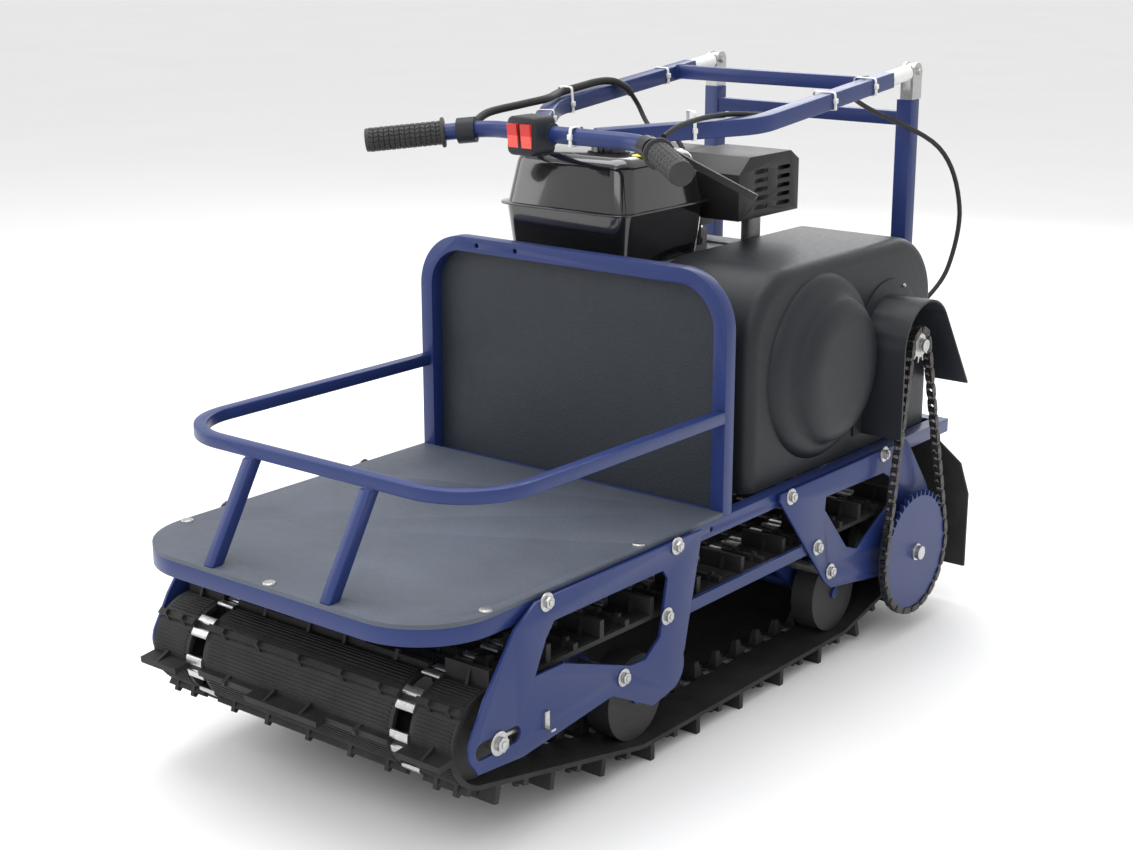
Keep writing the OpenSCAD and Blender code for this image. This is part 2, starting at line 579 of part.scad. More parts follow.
module fan_housing() color(black_steel) {
  difference() {
    union() {
      rod_x(-190, -105, crank_y, crank_z, fan_r);
      box([-190, crank_y + 20, crank_z], [-105, crank_y + 150, crank_z + 128]);
    }
    rod_x(-188, -104, crank_y, crank_z, fan_r - 2);
    box([-188, crank_y + 20, crank_z + 2], [-104, crank_y + 148, crank_z + 126]);
    rod_x(-191, -187, crank_y, crank_z, crank_r + 4);
  }
}
module recoil_cover() color(black_steel) {
  difference() {
    union() {
      rod_x(-206, -190, crank_y, crank_z, recoil_r + 12);
      rod_x(-228, -206, crank_y, crank_z, recoil_r);
    }
    rod_x(-204, -189, crank_y, crank_z, recoil_r + 10);
    rod_x(-226, -203, crank_y, crank_z, recoil_r - 2);
  }
}
// pull handle of the recoil starter, on the far upper side of its cover
module starter_grip() color(rubber) {
  box([-224, crank_y - 20, crank_z + recoil_r + 12], [-210, crank_y + 20, crank_z + recoil_r + 26]);
  translate([-217, crank_y, crank_z + recoil_r + 0.3]) cylinder(h = 12, r = 3);
}
tank_x = [-165, 62];
tank_y = [tank_front, crank_y];
tank_z = [base_z + 240, base_z + 389];
seam_z = tank_z[0] + 77;
// one level of the tank, drawn in from the seam's outline by inset
module tank_level(z0, z1, inset, r) extrude_z(z0, z1)
  round_rect([tank_x[0] + inset, tank_y[0] + inset], [tank_x[1] - inset, tank_y[1] - inset], r);
module fuel_tank() color(black_steel) difference() {
  tank_skin();
  tank_level(tank_z[0] + 2, tank_z[1] - 20, 14, 22);
  translate([cap_at[0], cap_at[1], tank_z[1] - 21]) cylinder(h = 30, r = 20);
}
module tank_skin() {
  tank_level(tank_z[0], seam_z, 12, 24);
  tank_level(seam_z, seam_z + 3, 0, 30);
  tank_level(seam_z + 3, tank_z[1] - 18, 10, 26);
  tank_level(tank_z[1] - 18, tank_z[1], 30, 20);
  translate([cap_at[0], cap_at[1], tank_z[1]]) cylinder(h = 4, r = 24);
}
cap_at = [-50, crank_y - 100];
module fuel_cap() color(black_steel)
  translate([cap_at[0], cap_at[1], tank_z[1] + 4]) cylinder(h = 14, r = 30);
carb_top = crank_z + 149;
module air_cleaner() color(black_steel) difference() {
  box([-172, crank_y + 10, carb_top], [-40, crank_y + 145, crank_z + 262]);
  box([-169, crank_y + 13, carb_top + 3], [-43, crank_y + 142, crank_z + 259]);
  translate([-52, crank_y + 73, carb_top - 1]) cylinder(h = 5, r = 8);
}
module carburettor() color("#8d9196")
  box([-62, crank_y + 46, crank_z + 118], [-22, crank_y + 100, carb_top]);
module choke_lever() color(rubber) {
  rod_x(-21.6, -16, crank_y + 74, crank_z + 134, 6);
  box([-20, crank_y + 72, crank_z + 139], [-17, crank_y + 77, crank_z + 170]);
}
muffler_x = [-15, 95];
muffler_y = [crank_y + 4, crank_y + 157];
muffler_z = [base_z + 288, base_z + 374];
module muffler_can(d) box([muffler_x[0] + 12 + d, muffler_y[0] + 12 + d, muffler_z[0] + 8 + d],
  [muffler_x[1] - 12 - d, muffler_y[1] - 12 - d, muffler_z[1] - 20 - d]);
module muffler() color("#4a4744") difference() {
  union() {
    muffler_can(0);
    translate([port_at[0], port_at[1], crank_z + 118])
      cylinder(h = muffler_z[0] + 9 - crank_z - 118, r = port_r);
  }
  muffler_can(2);
  translate([port_at[0], port_at[1], crank_z + 117]) cylinder(h = 80, r = port_r - 2);
}
guard_wall = 2;
module muffler_guard() color(black_steel) difference() {
  extrude_x(muffler_x[0], muffler_x[1]) guard_profile(0);
  extrude_x(muffler_x[0] + guard_wall, muffler_x[1] - guard_wall) guard_profile(guard_wall);
  for (c = [0, 1]) for (k = [0 : 4]) translate([0, muffler_y[0] + 38 + 58 * c, muffler_z[0] + 14 + 12.5 * k])
    slot_cut(34, 6);
}
module slot_cut(l, h) {
  box([muffler_x[1] - 10, h / 2, -h / 2], [muffler_x[1] + 10, l - h / 2, h / 2]);
  for (y = [h / 2, l - h / 2]) rod_x(muffler_x[1] - 10, muffler_x[1] + 10, y, 0, h / 2);
}
module guard_profile(d) polygon([[muffler_y[0] + d, muffler_z[0] - (d > 0 ? 1 : 0)],
  [muffler_y[1] - d, muffler_z[0] - (d > 0 ? 1 : 0)], [muffler_y[1] - d, muffler_z[1] - 14 - d / 2],
  [muffler_y[1] - 22, muffler_z[1] - d], [muffler_y[0] + 26, muffler_z[1] - d],
  [muffler_y[0] + d, muffler_z[1] - 22 - d / 2]]);

// ---- covers ----
front_fillet = 98;
rear_fillet = 100;
module hood_outline(d) {
  translate([hood_y[0] + d, hood_z[0]])
    square([hood_y[1] - hood_y[0] - 2 * d, hood_z[1] - rear_fillet - hood_z[0]]);
  translate([hood_y[0] + front_fillet, hood_z[0]])
    square([hood_y[1] - hood_y[0] - front_fillet - rear_fillet, hood_z[1] - d - hood_z[0]]);
  translate([hood_y[0] + front_fillet, hood_z[1] - front_fillet]) circle(front_fillet - d);
  translate([hood_y[1] - rear_fillet, hood_z[1] - rear_fillet]) circle(rear_fillet - d);
}
module hood() color("#26292d") difference() {
  union() {
    difference() {
      extrude_x(hood_in, hood_side) hood_outline(0);
      extrude_x(hood_in - 1, hood_side - hood_wall) hood_outline(hood_wall);
    }
    rod_x(hood_side - hood_wall, hood_side + bulge_out, crank_y, crank_z, bulge_r);
  }
  rod_x(hood_side - hood_wall - 1, hood_side + bulge_out - hood_wall, crank_y, crank_z, bulge_r - hood_wall);
  rod_x(0, 400, jack_y, jack_z, jack_r + 6);
}
guard_r = 66;
guard_out = chain_x + 14;
skirt_end = [hood_y[1] - 2, jack_z - 78];
module guard_area(r) {
  translate([jack_y, jack_z]) circle(r);
  translate([jack_y - r, jack_z - 124]) square([r, 124]);
  translate([jack_y, jack_z]) rotate(38) square([r, 1]);
}
module chain_guard() color("#26292d") {
  // band over the top, down the front, and a skirt to the rear
  extrude_x(hood_side, guard_out) difference() {
    union() {
      difference() {
        guard_area(guard_r);
        guard_area(guard_r - 3);
        translate([jack_y, jack_z - 200]) rotate(0) square([200, 200]);
        translate([jack_y, jack_z]) rotate(-90) square([200, 200]);
        polygon([[jack_y, jack_z], [jack_y + 200, jack_z + 160],
          [jack_y + 200, jack_z - 10], [jack_y, jack_z - 10]]);
      }
      polygon([skirt_end, skirt_end + [-2.5, -1.8],
        [jack_y + (guard_r - 3) * cos(38), jack_z + (guard_r - 3) * sin(38)],
        [jack_y + guard_r * cos(38), jack_z + guard_r * sin(38)]]);
    }
    translate([jack_y - guard_r + 3, jack_z - 130]) square([guard_r - 3, 130]);
  }
  // flange on the side of the hood
  extrude_x(hood_side, hood_side + 2) difference() {
    union() {
      translate([jack_y, jack_z]) circle(guard_r + 22);
      translate([jack_y - guard_r - 22, jack_z - 124]) square([guard_r + 22, 124]);
    }
    translate([jack_y, jack_z]) circle(guard_r - 3);
    translate([jack_y - guard_r + 3, jack_z - 130]) square([300, 130]);
    translate([jack_y, jack_z - 150]) square([300, 150]);
    translate([crank_y, crank_z]) circle(bulge_r + 0.3);
  }
}
flap_t = 5;
flap_half = 296;
module mudflap() color(rubber) extrude_y(rear_len, rear_len + flap_t) difference() {
  polygon([[-240, rail_z - 2], [240, rail_z - 2], [244, 249], [281, 221], [flap_half, 175], [flap_half, 60],
    [-flap_half, 60], [-flap_half, 175], [-281, 221], [-244, 249]]);
  translate([-28, rail_z - 30]) square([56, 60]);
}

// ---- fasteners ----
// domed bolt head with its washer on the outside of a side plate
module side_bolt(y, z) {
  rod_x(plate_x, plate_x + 2, y, z, 11);
  rod_x(plate_x + 2, plate_x + 9, y, z, 7.5);
}
bolt_spots = [[pivot_y[0], pivot_z], [pivot_y[1], pivot_z], [roller_y[0] - 216, rail_z - 4],
  [roller_y[0] + 35, rail_z - 2 - 4], [roller_y[0] + 16, 196], [roller_y[1] - 178, rail_z - 8],
  [roller_y[1] - 106, 189], [drive_y - 66, rail_z - 6]];
module frame_fasteners() color(zinc) {
  both_sides() {
    for (p = bolt_spots) side_bolt(p[0], p[1]);
    rod_x(plate_x, plate_x + 3, idler_y, idler_z, 13);
    rod_x(plate_x + 3, plate_x + 12, idler_y, idler_z, 9);
  }
  deck_screws();
}

// ---- uprights and handlebar ----
upright_tube = 24;
upright_y = rear_len - 12;
upright_top = fold_z - 40;
module upright_frame() color(paint) {
  half = upright_tube / 2;
  for (x = [-upright_gap / 2, upright_gap / 2])
    box([x - half, upright_y - half, rail_z], [x + half, upright_y + half, upright_top]);
  box([half - upright_gap / 2, upright_y - 10, fold_z - 78],
    [upright_gap / 2 - half, upright_y + 10, fold_z - 58]);
}
lug_gap = 6;                                   // half the space between a lug's two ears
module fold_lugs() color(zinc) for (s = [-1, 1]) translate([s * arm_x, 0, 0]) {
  for (e = [-1, 1]) extrude_x(e * (lug_gap + 2) - 2, e * (lug_gap + 2) + 2) {
    translate([fold_y, fold_z]) circle(13);
    translate([fold_y - 13, upright_top]) square([26, fold_z - upright_top]);
  }
  box([-10, fold_y - 13, upright_top], [10, fold_y + 13, upright_top + 12]);
  rod_x(-lug_gap - 9, lug_gap + 9, fold_y, fold_z, 5);
}
sleeve_len = 70;
arm_way = unit(arm_bend - arm_end);
module arm_sleeves() color(zinc) both_sides() difference() {
  union() {
    round_bar(arm_end + 16 * arm_way, arm_end + sleeve_len * arm_way, 11);
    extrude_x(arm_x - lug_gap + 0.5, arm_x + lug_gap - 0.5) {
      translate([fold_y, fold_z]) circle(11);
      translate([fold_y, fold_z]) rotate(atan2(arm_way[2], arm_way[1])) translate([0, -10]) square([24, 20]);
    }
  }
  rod_x(arm_x - 20, arm_x + 20, fold_y, fold_z, 5 + run_gap);
}
cross_at = fold_y - 112;
module handlebar_frame() color(paint) difference() {
  union() {
    both_sides() {
      square_bar(arm_end + sleeve_len * arm_way, arm_bend, arm_tube);
      translate(arm_bend) sphere(arm_tube / 2);
      square_bar(arm_bend, arm_front, arm_tube);
    }
    translate([0, cross_at, fold_z - 11]) cube([2 * arm_x - arm_tube + 4, 20, 20], center = true);
  }
  rod_x(-200, 200, bar_y, bar_z, bar_r);
  box([-200, bar_y - 60, bar_z - 60], [200, bar_y, bar_z + 60]);
}
module handlebar() color(paint) {
  rod_x(-bar_turn[0], bar_turn[0], bar_y, bar_z, bar_r);
  both_sides() {
    translate(bar_turn) sphere(bar_r + 0.05);
    round_bar(bar_turn, grip_in, bar_r);
    translate(grip_in) sphere(bar_r + 0.05);
    round_bar(grip_in, grip_out - 4 * grip_dir, bar_r);
  }
}
module grip_shape(bore) difference() {
  round_bar(grip_in + 12 * grip_dir, grip_out, grip_r);
  round_bar(grip_in, grip_out - 4 * grip_dir, bore);
}
module left_grip() color(rubber) grip_shape(bar_r);
module throttle_grip() color(rubber) mirror([1, 0, 0]) grip_shape(bar_r + run_gap);
module throttle_housing() color(black_steel) mirror([1, 0, 0]) {
  a = grip_in - 30 * unit(grip_in - bar_turn);
  difference() {
    round_bar(a, a + 24 * unit(grip_in - a), 17);
    round_bar(bar_turn, grip_in, bar_r);
  }
}
// perch clamped to the bar, with the pin that the lever turns on
lever_len = norm(lever_tip - lever_pivot);
lever_t = 8;
perch_t = 2.7;
bar_way = unit(grip_in - bar_turn);
perch_at = bar_turn + ((lever_pivot - bar_turn) * bar_way) * bar_way;
perch_in = [(perch_at - lever_pivot) * lever_dir, (perch_at - lever_pivot) * cross(lever_axis, lever_dir)];
module lever_perch() color(black_steel) difference() {
  union() {
    translate(lever_pivot) rotate(aim(lever_dir, lever_axis)) {
      for (z = [-lever_t / 2 - 0.3 - perch_t, lever_t / 2 + 0.3])
        translate([0, 0, z]) linear_extrude(perch_t) {
        circle(9);
        rotate(atan2(perch_in[1], perch_in[0])) translate([0, -7]) square([norm(perch_in), 14]);
      }
      translate([0, 0, -lever_t / 2 - 1]) cylinder(h = lever_t + 2, r = 4);
    }
    round_bar(perch_at - 10 * bar_way, perch_at + 10 * bar_way, bar_r + 2.5);
  }
  round_bar(bar_turn - 0.01 * bar_way, grip_in, bar_r);
}
module brake_lever() color("#3c3f44") translate(lever_pivot) rotate(aim(lever_dir, lever_axis)) difference() {
  translate([0, 0, -lever_t / 2]) linear_extrude(lever_t) union() {
    circle(9);
    polygon([[-3, -8], [60, -3], [lever_len, -5], [lever_len, 4], [60, 9], [-3, 8]]);
    translate([lever_len, 0]) circle(6);
  }
  translate([0, 0, -10]) cylinder(h = 20, r = 4 + run_gap);
}
rocker_x = [-49, -27];
module switch_box() color(black_steel) {
  difference() {
    box([-62, bar_y - 36, bar_z - 26], [-14, bar_y, bar_z + 24]);
    rod_x(-100, 0, bar_y, bar_z, bar_r);
    for (x = rocker_x) box([x - 8.4, bar_y - 40, bar_z - 17], [x + 8.4, bar_y - 22, bar_z + 17]);
  }
  for (x = rocker_x) rod_x(x - 8.4, x + 8.4, bar_y - 32, bar_z, 2 - run_gap);
}
module rocker(x) color("#d8322c") translate([x, bar_y - 36, bar_z]) difference() {
  rotate([8, 0, 0]) box([-8, -4, -15], [8, 8, 15]);
  rod_x(-9, 9, 4, 0, 2);
}
module light_rocker() rocker(rocker_x[0]);
module engine_rocker() rocker(rocker_x[1]);
// cables tied under the arms
cable_r = 3.5;
tie_x = arm_x - 17;                            // the near cable lies inside its arm
near_cable = smooth([[149, bar_y + 17, bar_z + 8], [147, bar_y + 50, bar_z + 17],
  [arm_x - 30, bar_y + 110, bar_z + 22], [arm_x - 27, bar_y + 165, bar_z + 22.5],
  [tie_x, arm_bend[1] + 26, bar_z + 18],
  [tie_x, arm_bend[1] + 75, arm_bend[2] + 7],
  [tie_x, cross_at - 95, fold_z - 22], [tie_x, cross_at - 42, fold_z - 24]], 4);
far_cable = smooth([[-154, bar_y + 5, bar_z + 3], [-158, bar_y + 40, bar_z + 15],
  [24 - arm_x, bar_y + 100, bar_z + 22], [26 - arm_x, bar_y + 150, bar_z + 26],
  [1 - arm_x, arm_bend[1] + 12, arm_bend[2] + 20],
  [-arm_x, arm_bend[1] + 55, arm_bend[2] + 24.5], [4 - arm_x, arm_bend[1] + 98, arm_bend[2] + 29.5],
  [15 - arm_x, arm_bend[1] + 118, arm_bend[2] + 29], [21 - arm_x, arm_bend[1] + 138, arm_bend[2] + 20.5],
  [24 - arm_x, arm_bend[1] + 150, arm_bend[2] + 10]], 4);
module handlebar_cables() color(rubber) {
  hose(near_cable, cable_r);
  hose(far_cable, cable_r + 2);
}
// brake cable looping down behind the hood, and throttle cable dropping to the carburettor
brake_route = smooth([[tie_x, cross_at - 41, fold_z - 24], [tie_x, cross_at - 25, fold_z - 29],
  [tie_x + 6, cross_at + 15, fold_z - 48], [arm_x + 40, fold_y + 20, fold_z - 110],
  [arm_x + 58, fold_y + 60, fold_z - 200], [arm_x + 52, fold_y + 46, fold_z - 290],
  [arm_x + 40, hood_y[1] + 20, fold_z - 335], [arm_x + 40, hood_y[1] + 1.4, fold_z - 335]], 5);
throttle_route = smooth([[24 - arm_x, arm_bend[1] + 151, arm_bend[2] + 9],
  [27 - arm_x, crank_y + 94, fold_z - 50],
  [42 - arm_x, crank_y + 93, fold_z - 72], [-100, crank_y + 77, fold_z - 87], [-52, crank_y + 61, fold_z - 89],
  [-28, crank_y + 55, fold_z - 128], [-28, crank_y + 55, carb_top + 20],
  [-28, crank_y + 55, carb_top + 0.1]], 4);
module cable_drops() color(rubber) {
  hose(brake_route, cable_r);
  hose(throttle_route, cable_r);
}

chassis_frame();
cross_tubes();
drive_stands();
front_side_plates();
rear_side_plates();
cargo_deck();
guard_rail();
backrest_hoop();
backrest_board();
track_belt();
idler_wheels();
track_axles();
track_tensioners();
front_roller_arm();
rear_roller_arm();
front_rollers();
rear_rollers();
drive_axle();
track_drive_wheels();
driven_sprocket();
flange_bearings();
jackshaft();
driven_pulley();
brake_disc();
brake_caliper();
drive_chain();
variator_belt();
crankshaft();
drive_pulley();
engine_block();
cylinder_head();
fan_housing();
recoil_cover();
starter_grip();
fuel_tank();
fuel_cap();
air_cleaner();
carburettor();
choke_lever();
muffler();
muffler_guard();
hood();
chain_guard();
mudflap();
frame_fasteners();
upright_frame();
fold_lugs();
handlebar_frame();
arm_sleeves();
handlebar();
left_grip();
throttle_grip();
throttle_housing();
lever_perch();
brake_lever();
switch_box();
light_rocker();
engine_rocker();
handlebar_cables();
cable_drops();
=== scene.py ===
"""Looks of the tracked power carrier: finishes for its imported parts, and the fine pieces on them."""
import json
from math import acos, atan2, cos, hypot, pi, radians, sin, sqrt
import bpy
from mathutils import Matrix, Vector


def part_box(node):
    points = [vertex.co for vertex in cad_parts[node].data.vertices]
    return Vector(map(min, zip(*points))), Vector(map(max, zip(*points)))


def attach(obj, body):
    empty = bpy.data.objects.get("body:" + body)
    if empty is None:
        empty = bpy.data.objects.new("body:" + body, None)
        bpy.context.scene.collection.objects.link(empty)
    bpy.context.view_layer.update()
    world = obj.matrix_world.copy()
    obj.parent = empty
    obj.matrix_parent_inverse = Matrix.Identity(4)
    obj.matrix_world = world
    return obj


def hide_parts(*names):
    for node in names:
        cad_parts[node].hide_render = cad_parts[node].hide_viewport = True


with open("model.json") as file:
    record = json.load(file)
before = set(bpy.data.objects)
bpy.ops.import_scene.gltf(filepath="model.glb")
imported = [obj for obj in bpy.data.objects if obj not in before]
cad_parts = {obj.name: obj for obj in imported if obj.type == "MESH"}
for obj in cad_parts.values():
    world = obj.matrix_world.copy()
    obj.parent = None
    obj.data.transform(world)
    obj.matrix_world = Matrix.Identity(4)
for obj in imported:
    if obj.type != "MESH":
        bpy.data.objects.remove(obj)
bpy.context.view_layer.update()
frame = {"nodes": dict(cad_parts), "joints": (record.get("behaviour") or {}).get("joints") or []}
joints = {j["name"]: j for j in frame["joints"]}
mm = 0.001


# ---- shader sums written as Python ----
class Val:
    """A shader socket that Python's operators work on."""

    def __init__(self, finish, socket):
        self.finish, self.socket = finish, socket

    def _do(self, op, a, b):
        return self.finish.node("ShaderNodeMath", {"operation": op}, {0: a, 1: b})[0]

    def __add__(self, other):
        return self._do("ADD", self, other)

    def __radd__(self, other):
        return self._do("ADD", other, self)

    def __sub__(self, other):
        return self._do("SUBTRACT", self, other)

    def __rsub__(self, other):
        return self._do("SUBTRACT", other, self)

    def __mul__(self, other):
        return self._do("MULTIPLY", self, other)

    def __rmul__(self, other):
        return self._do("MULTIPLY", other, self)


class Finish:
    """One procedural material, built from named nodes."""

    def __init__(self, name, **fixed):
        self.mat = bpy.data.materials.new(name)
        self.mat.use_nodes = True
        self.tree = self.mat.node_tree
        self.shader = self.tree.nodes["Principled BSDF"]
        for key, value in fixed.items():
            self.shader.inputs[key.replace("_", " ")].default_value = value

    def node(self, kind, settings=None, inputs=None):
        made = self.tree.nodes.new(kind)
        for key, value in (settings or {}).items():
            if key == "stops":
                self._stops(made.color_ramp, value)
            else:
                setattr(made, key, value)
        for key, value in (inputs or {}).items():
            self.feed(made.inputs[key], value)
        return [Val(self, s) for s in made.outputs if s.enabled]

    def _stops(self, ramp, stops):
        while len(ramp.elements) < len(stops):
            ramp.elements.new(0.5)
        for element, (place, grey) in zip(ramp.elements, stops):
            element.position = place
            element.color = (grey, grey, grey, 1)

    def feed(self, socket, value):
        if isinstance(value, Val):
            self.tree.links.new(value.socket, socket)
        else:
            socket.default_value = value

    def set(self, **values):
        for key, value in values.items():
            self.feed(self.shader.inputs[key.replace("_", " ")], value)

    def place(self):
        return self.node("ShaderNodeTexCoord")[3]

    def noise(self, scale, detail=3, rough=0.55, at=None):
        return self.node("ShaderNodeTexNoise", None, {
            "Vector": at or self.place(), "Scale": scale, "Detail": detail, "Roughness": rough})[0]

    def bumps(self, scale, at=None):
        return self.node("ShaderNodeTexVoronoi", None, {"Vector": at or self.place(), "Scale": scale})[0]

    def ramp(self, value, *stops):
        return self.node("ShaderNodeValToRGB", {"stops": stops}, {"Fac": value})[0]

    def blend(self, mask, low, high):
        low = low if isinstance(low, Val) else (*low, 1)
        high = high if isinstance(high, Val) else (*high, 1)
        made = self.tree.nodes.new("ShaderNodeMix")
        made.data_type = "RGBA"
        self.feed(made.inputs[0], mask)
        self.feed(made.inputs[6], low)
        self.feed(made.inputs[7], high)
        return Val(self, made.outputs[2])

    def relief(self, height, depth, strength=1.0):
        self.set(Normal=self.node("ShaderNodeBump", None, {
            "Strength": strength, "Distance": depth, "Height": height})[0])

    def split(self):
        return self.node("ShaderNodeSeparateXYZ", None, {0: self.place()})


# ---- finishes ----
def frame_paint():
    f = Finish("frame_paint", Coat_Roughness=0.10, Specular_IOR_Level=0.3)
    patch = f.noise(9, 4)
    grit = f.noise(900, 2)
    f.set(Base_Color=f.blend(patch, (0.012, 0.025, 0.112), (0.019, 0.037, 0.152)),
          Roughness=0.34 + grit * 0.12, Coat_Weight=0.10 + patch * 0.08)
    f.relief(f.noise(420, 2), 0.00018, 0.5)
    return f.mat


def track_rubber():
    f = Finish("track_rubber", Specular_IOR_Level=0.35)
    dust = f.ramp(f.noise(14, 6, 0.7), (0.42, 0), (0.75, 1))
    f.set(Base_Color=f.blend(dust * 0.6, (0.013, 0.013, 0.014), (0.040, 0.039, 0.037)),
          Roughness=0.52 + f.noise(60, 3) * 0.22)
    f.relief(f.noise(700, 3), 0.0004, 0.6)
    return f.mat


def soft_rubber(name, low=0.010, high=0.022):
    f = Finish(name)
    f.set(Base_Color=f.blend(f.noise(40, 3), (low, low, low * 1.05), (high, high, high * 1.05)),
          Roughness=0.50 + f.noise(200, 2) * 0.2)
    f.relief(f.noise(1200, 2), 0.0002, 0.5)
    return f.mat


def deck_board(name="deck_board", low=(0.040, 0.048, 0.064), high=(0.105, 0.125, 0.165)):
    f = Finish(name)
    grain = f.bumps(620)
    worn = f.ramp(f.noise(5, 5, 0.6), (0.40, 0), (0.70, 1))
    f.set(Base_Color=f.blend(worn * 0.35 + grain * 0.25 + 0.25, low, high),
          Roughness=0.50 + f.noise(90, 3) * 0.18)
    f.relief(grain + f.noise(300, 3) * 0.6, 0.0005, 0.7)
    return f.mat


def moulded_cover():
    f = Finish("moulded_cover", Specular_IOR_Level=0.3)
    cloud = f.noise(6, 4)
    f.set(Base_Color=f.blend(cloud, (0.010, 0.012, 0.015), (0.019, 0.022, 0.027)),
          Roughness=0.36 + f.noise(120, 3) * 0.16)
    f.relief(f.noise(1100, 2), 0.00022, 0.5)
    return f.mat


def zinc(name="zinc", tint=(0.58, 0.58, 0.57), dull=0.0):
    f = Finish(name)
    spangle = f.bumps(260)
    stain = f.ramp(f.noise(35, 5, 0.65), (0.45, 0), (0.8, 1))
    dark = tuple(c * 0.62 for c in tint)
    f.set(Base_Color=f.blend(spangle * 0.5 + stain * 0.4, tint, dark),
          Metallic=1.0 - stain * 0.25, Roughness=0.24 + dull + spangle * 0.18)
    f.relief(f.noise(500, 3), 0.00012, 0.4)
    return f.mat


def oiled_steel():
    f = Finish("oiled_steel")
    oil = f.noise(60, 4)
    f.set(Base_Color=f.blend(oil, (0.035, 0.034, 0.033), (0.11, 0.105, 0.10)),
          Metallic=0.9 - oil * 0.2, Roughness=0.30 + f.noise(160, 3) * 0.25)
    f.relief(f.noise(800, 2), 0.00012, 0.4)
    return f.mat


def tank_enamel():
    f = Finish("tank_enamel", Coat_Roughness=0.03)
    haze = f.noise(8, 3)
    f.set(Base_Color=f.blend(haze, (0.005, 0.005, 0.006), (0.010, 0.010, 0.012)),
          Roughness=0.10 + f.noise(90, 2) * 0.06, Coat_Weight=0.9 - haze * 0.1)
    f.relief(f.noise(30, 2), 0.0006, 0.15)
    return f.mat


def satin_black():
    f = Finish("satin_black")
    heat = f.noise(12, 4)
    f.set(Base_Color=f.blend(heat, (0.010, 0.010, 0.011), (0.022, 0.021, 0.020)),
          Roughness=0.34 + f.noise(260, 2) * 0.16, Metallic=0.15 + heat * 0.1)
    f.relief(f.noise(900, 2), 0.0002, 0.5)
    return f.mat


def cast_alloy():
    f = Finish("cast_alloy")
    sand = f.bumps(420)
    f.set(Base_Color=f.blend(f.noise(18, 4), (0.26, 0.26, 0.27), (0.44, 0.44, 0.45)),
          Metallic=0.75 + sand * 0.1, Roughness=0.45 + sand * 0.2)
    f.relief(sand + f.noise(240, 3), 0.0005, 0.6)
    return f.mat


def switch_red():
    f = Finish("switch_red")
    # painted light and shade: below 0.75 m height the switch plastic is painted bright red as if lit, above
    # it darker red as if in shade
    painted_light_mask = f.ramp(f.split()[2] * 10 - 7, (0.497, 1), (0.503, 0))
    f.set(Base_Color=f.blend(painted_light_mask * 0.85 + f.noise(70, 2) * 0.15, (0.55, 0.020, 0.016), (0.95, 0.10, 0.07)),
          Roughness=0.28 + f.noise(200, 2) * 0.1)
    f.relief(f.noise(900, 2), 0.0001, 0.3)
    return f.mat


def sticker_yellow():
    f = Finish("sticker_yellow")
    f.set(Base_Color=f.blend(f.noise(90, 2), (0.78, 0.62, 0.02), (0.86, 0.72, 0.04)),
          Roughness=0.35 + f.noise(300, 2) * 0.1)
    return f.mat


def tie_plastic():
    f = Finish("tie_plastic")
    f.set(Base_Color=f.blend(f.noise(90, 2), (0.70, 0.70, 0.68), (0.82, 0.82, 0.80)),
          Roughness=0.38 + f.noise(300, 2) * 0.1)
    return f.mat


PAINT, TRACK, GRIP = frame_paint(), track_rubber(), soft_rubber("grip_rubber", 0.016, 0.034)
CABLE, WHEEL = soft_rubber("cable_sheath", 0.006, 0.012), soft_rubber("wheel_rubber", 0.012, 0.030)
DECK, BOARD = deck_board(), deck_board("back_board", (0.009, 0.013, 0.019), (0.022, 0.028, 0.038))
COVER, ZINC, STEEL = moulded_cover(), zinc(), oiled_steel()
ENAMEL, BLACK, ALLOY = tank_enamel(), satin_black(), cast_alloy()
RED, TIE, YELLOW = switch_red(), tie_plastic(), sticker_yellow()
DISC = zinc("brake_disc_steel", (0.42, 0.42, 0.42), 0.08)

FINISHES = {
    PAINT: "chassis_frame cross_tubes drive_stands front_side_plates rear_side_plates guard_rail "
           "backrest_hoop front_roller_arm rear_roller_arm driven_sprocket upright_frame "
           "handlebar_frame handlebar",
    TRACK: "track_belt mudflap variator_belt",
    WHEEL: "idler_wheels front_rollers rear_rollers",
    GRIP: "left_grip throttle_grip starter_grip choke_lever",
    DECK: "cargo_deck",
    BOARD: "backrest_board",
    COVER: "hood chain_guard air_cleaner switch_box throttle_housing fuel_cap recoil_cover",
    ZINC: "track_axles track_tensioners drive_axle flange_bearings jackshaft crankshaft "
          "frame_fasteners fold_lugs",
    DISC: "brake_disc muffler",
    STEEL: "track_drive_wheels driven_pulley drive_pulley drive_chain",
    ENAMEL: "fuel_tank",
    ALLOY: "engine_block cylinder_head carburettor",
    BLACK: "brake_caliper fan_housing muffler_guard lever_perch brake_lever",
    RED: "light_rocker engine_rocker",
    TIE: "arm_sleeves",
    CABLE: "handlebar_cables cable_drops",
}


def dress(obj, material):
    obj.data.materials.clear()
    obj.data.materials.append(material)


for material, names in FINISHES.items():
    for name in names.split():
        dress(frame["nodes"][name], material)


# ---- camera, floor and light ----
def set_camera():
    data = bpy.data.cameras.new("camera")
    data.lens = 59.79
    data.sensor_width = 36
    camera = bpy.data.objects.new("camera", data)
    camera.location = (1.5185, -1.9561, 1.0385)
    camera.rotation_euler = (radians(90 - 15.55), 0, radians(38.70))
    bpy.context.scene.collection.objects.link(camera)
    bpy.context.scene.camera = camera


def set_floor():
    bpy.ops.mesh.primitive_plane_add(size=40, location=(0, 0, -0.0005))
    floor = bpy.context.object
    floor.name = "studio_floor"
    f = Finish("studio_floor")
    f.set(Base_Color=f.blend(f.noise(1.5, 2), (0.86, 0.86, 0.86), (0.90, 0.90, 0.90)), Roughness=0.75)
    dress(floor, f.mat)


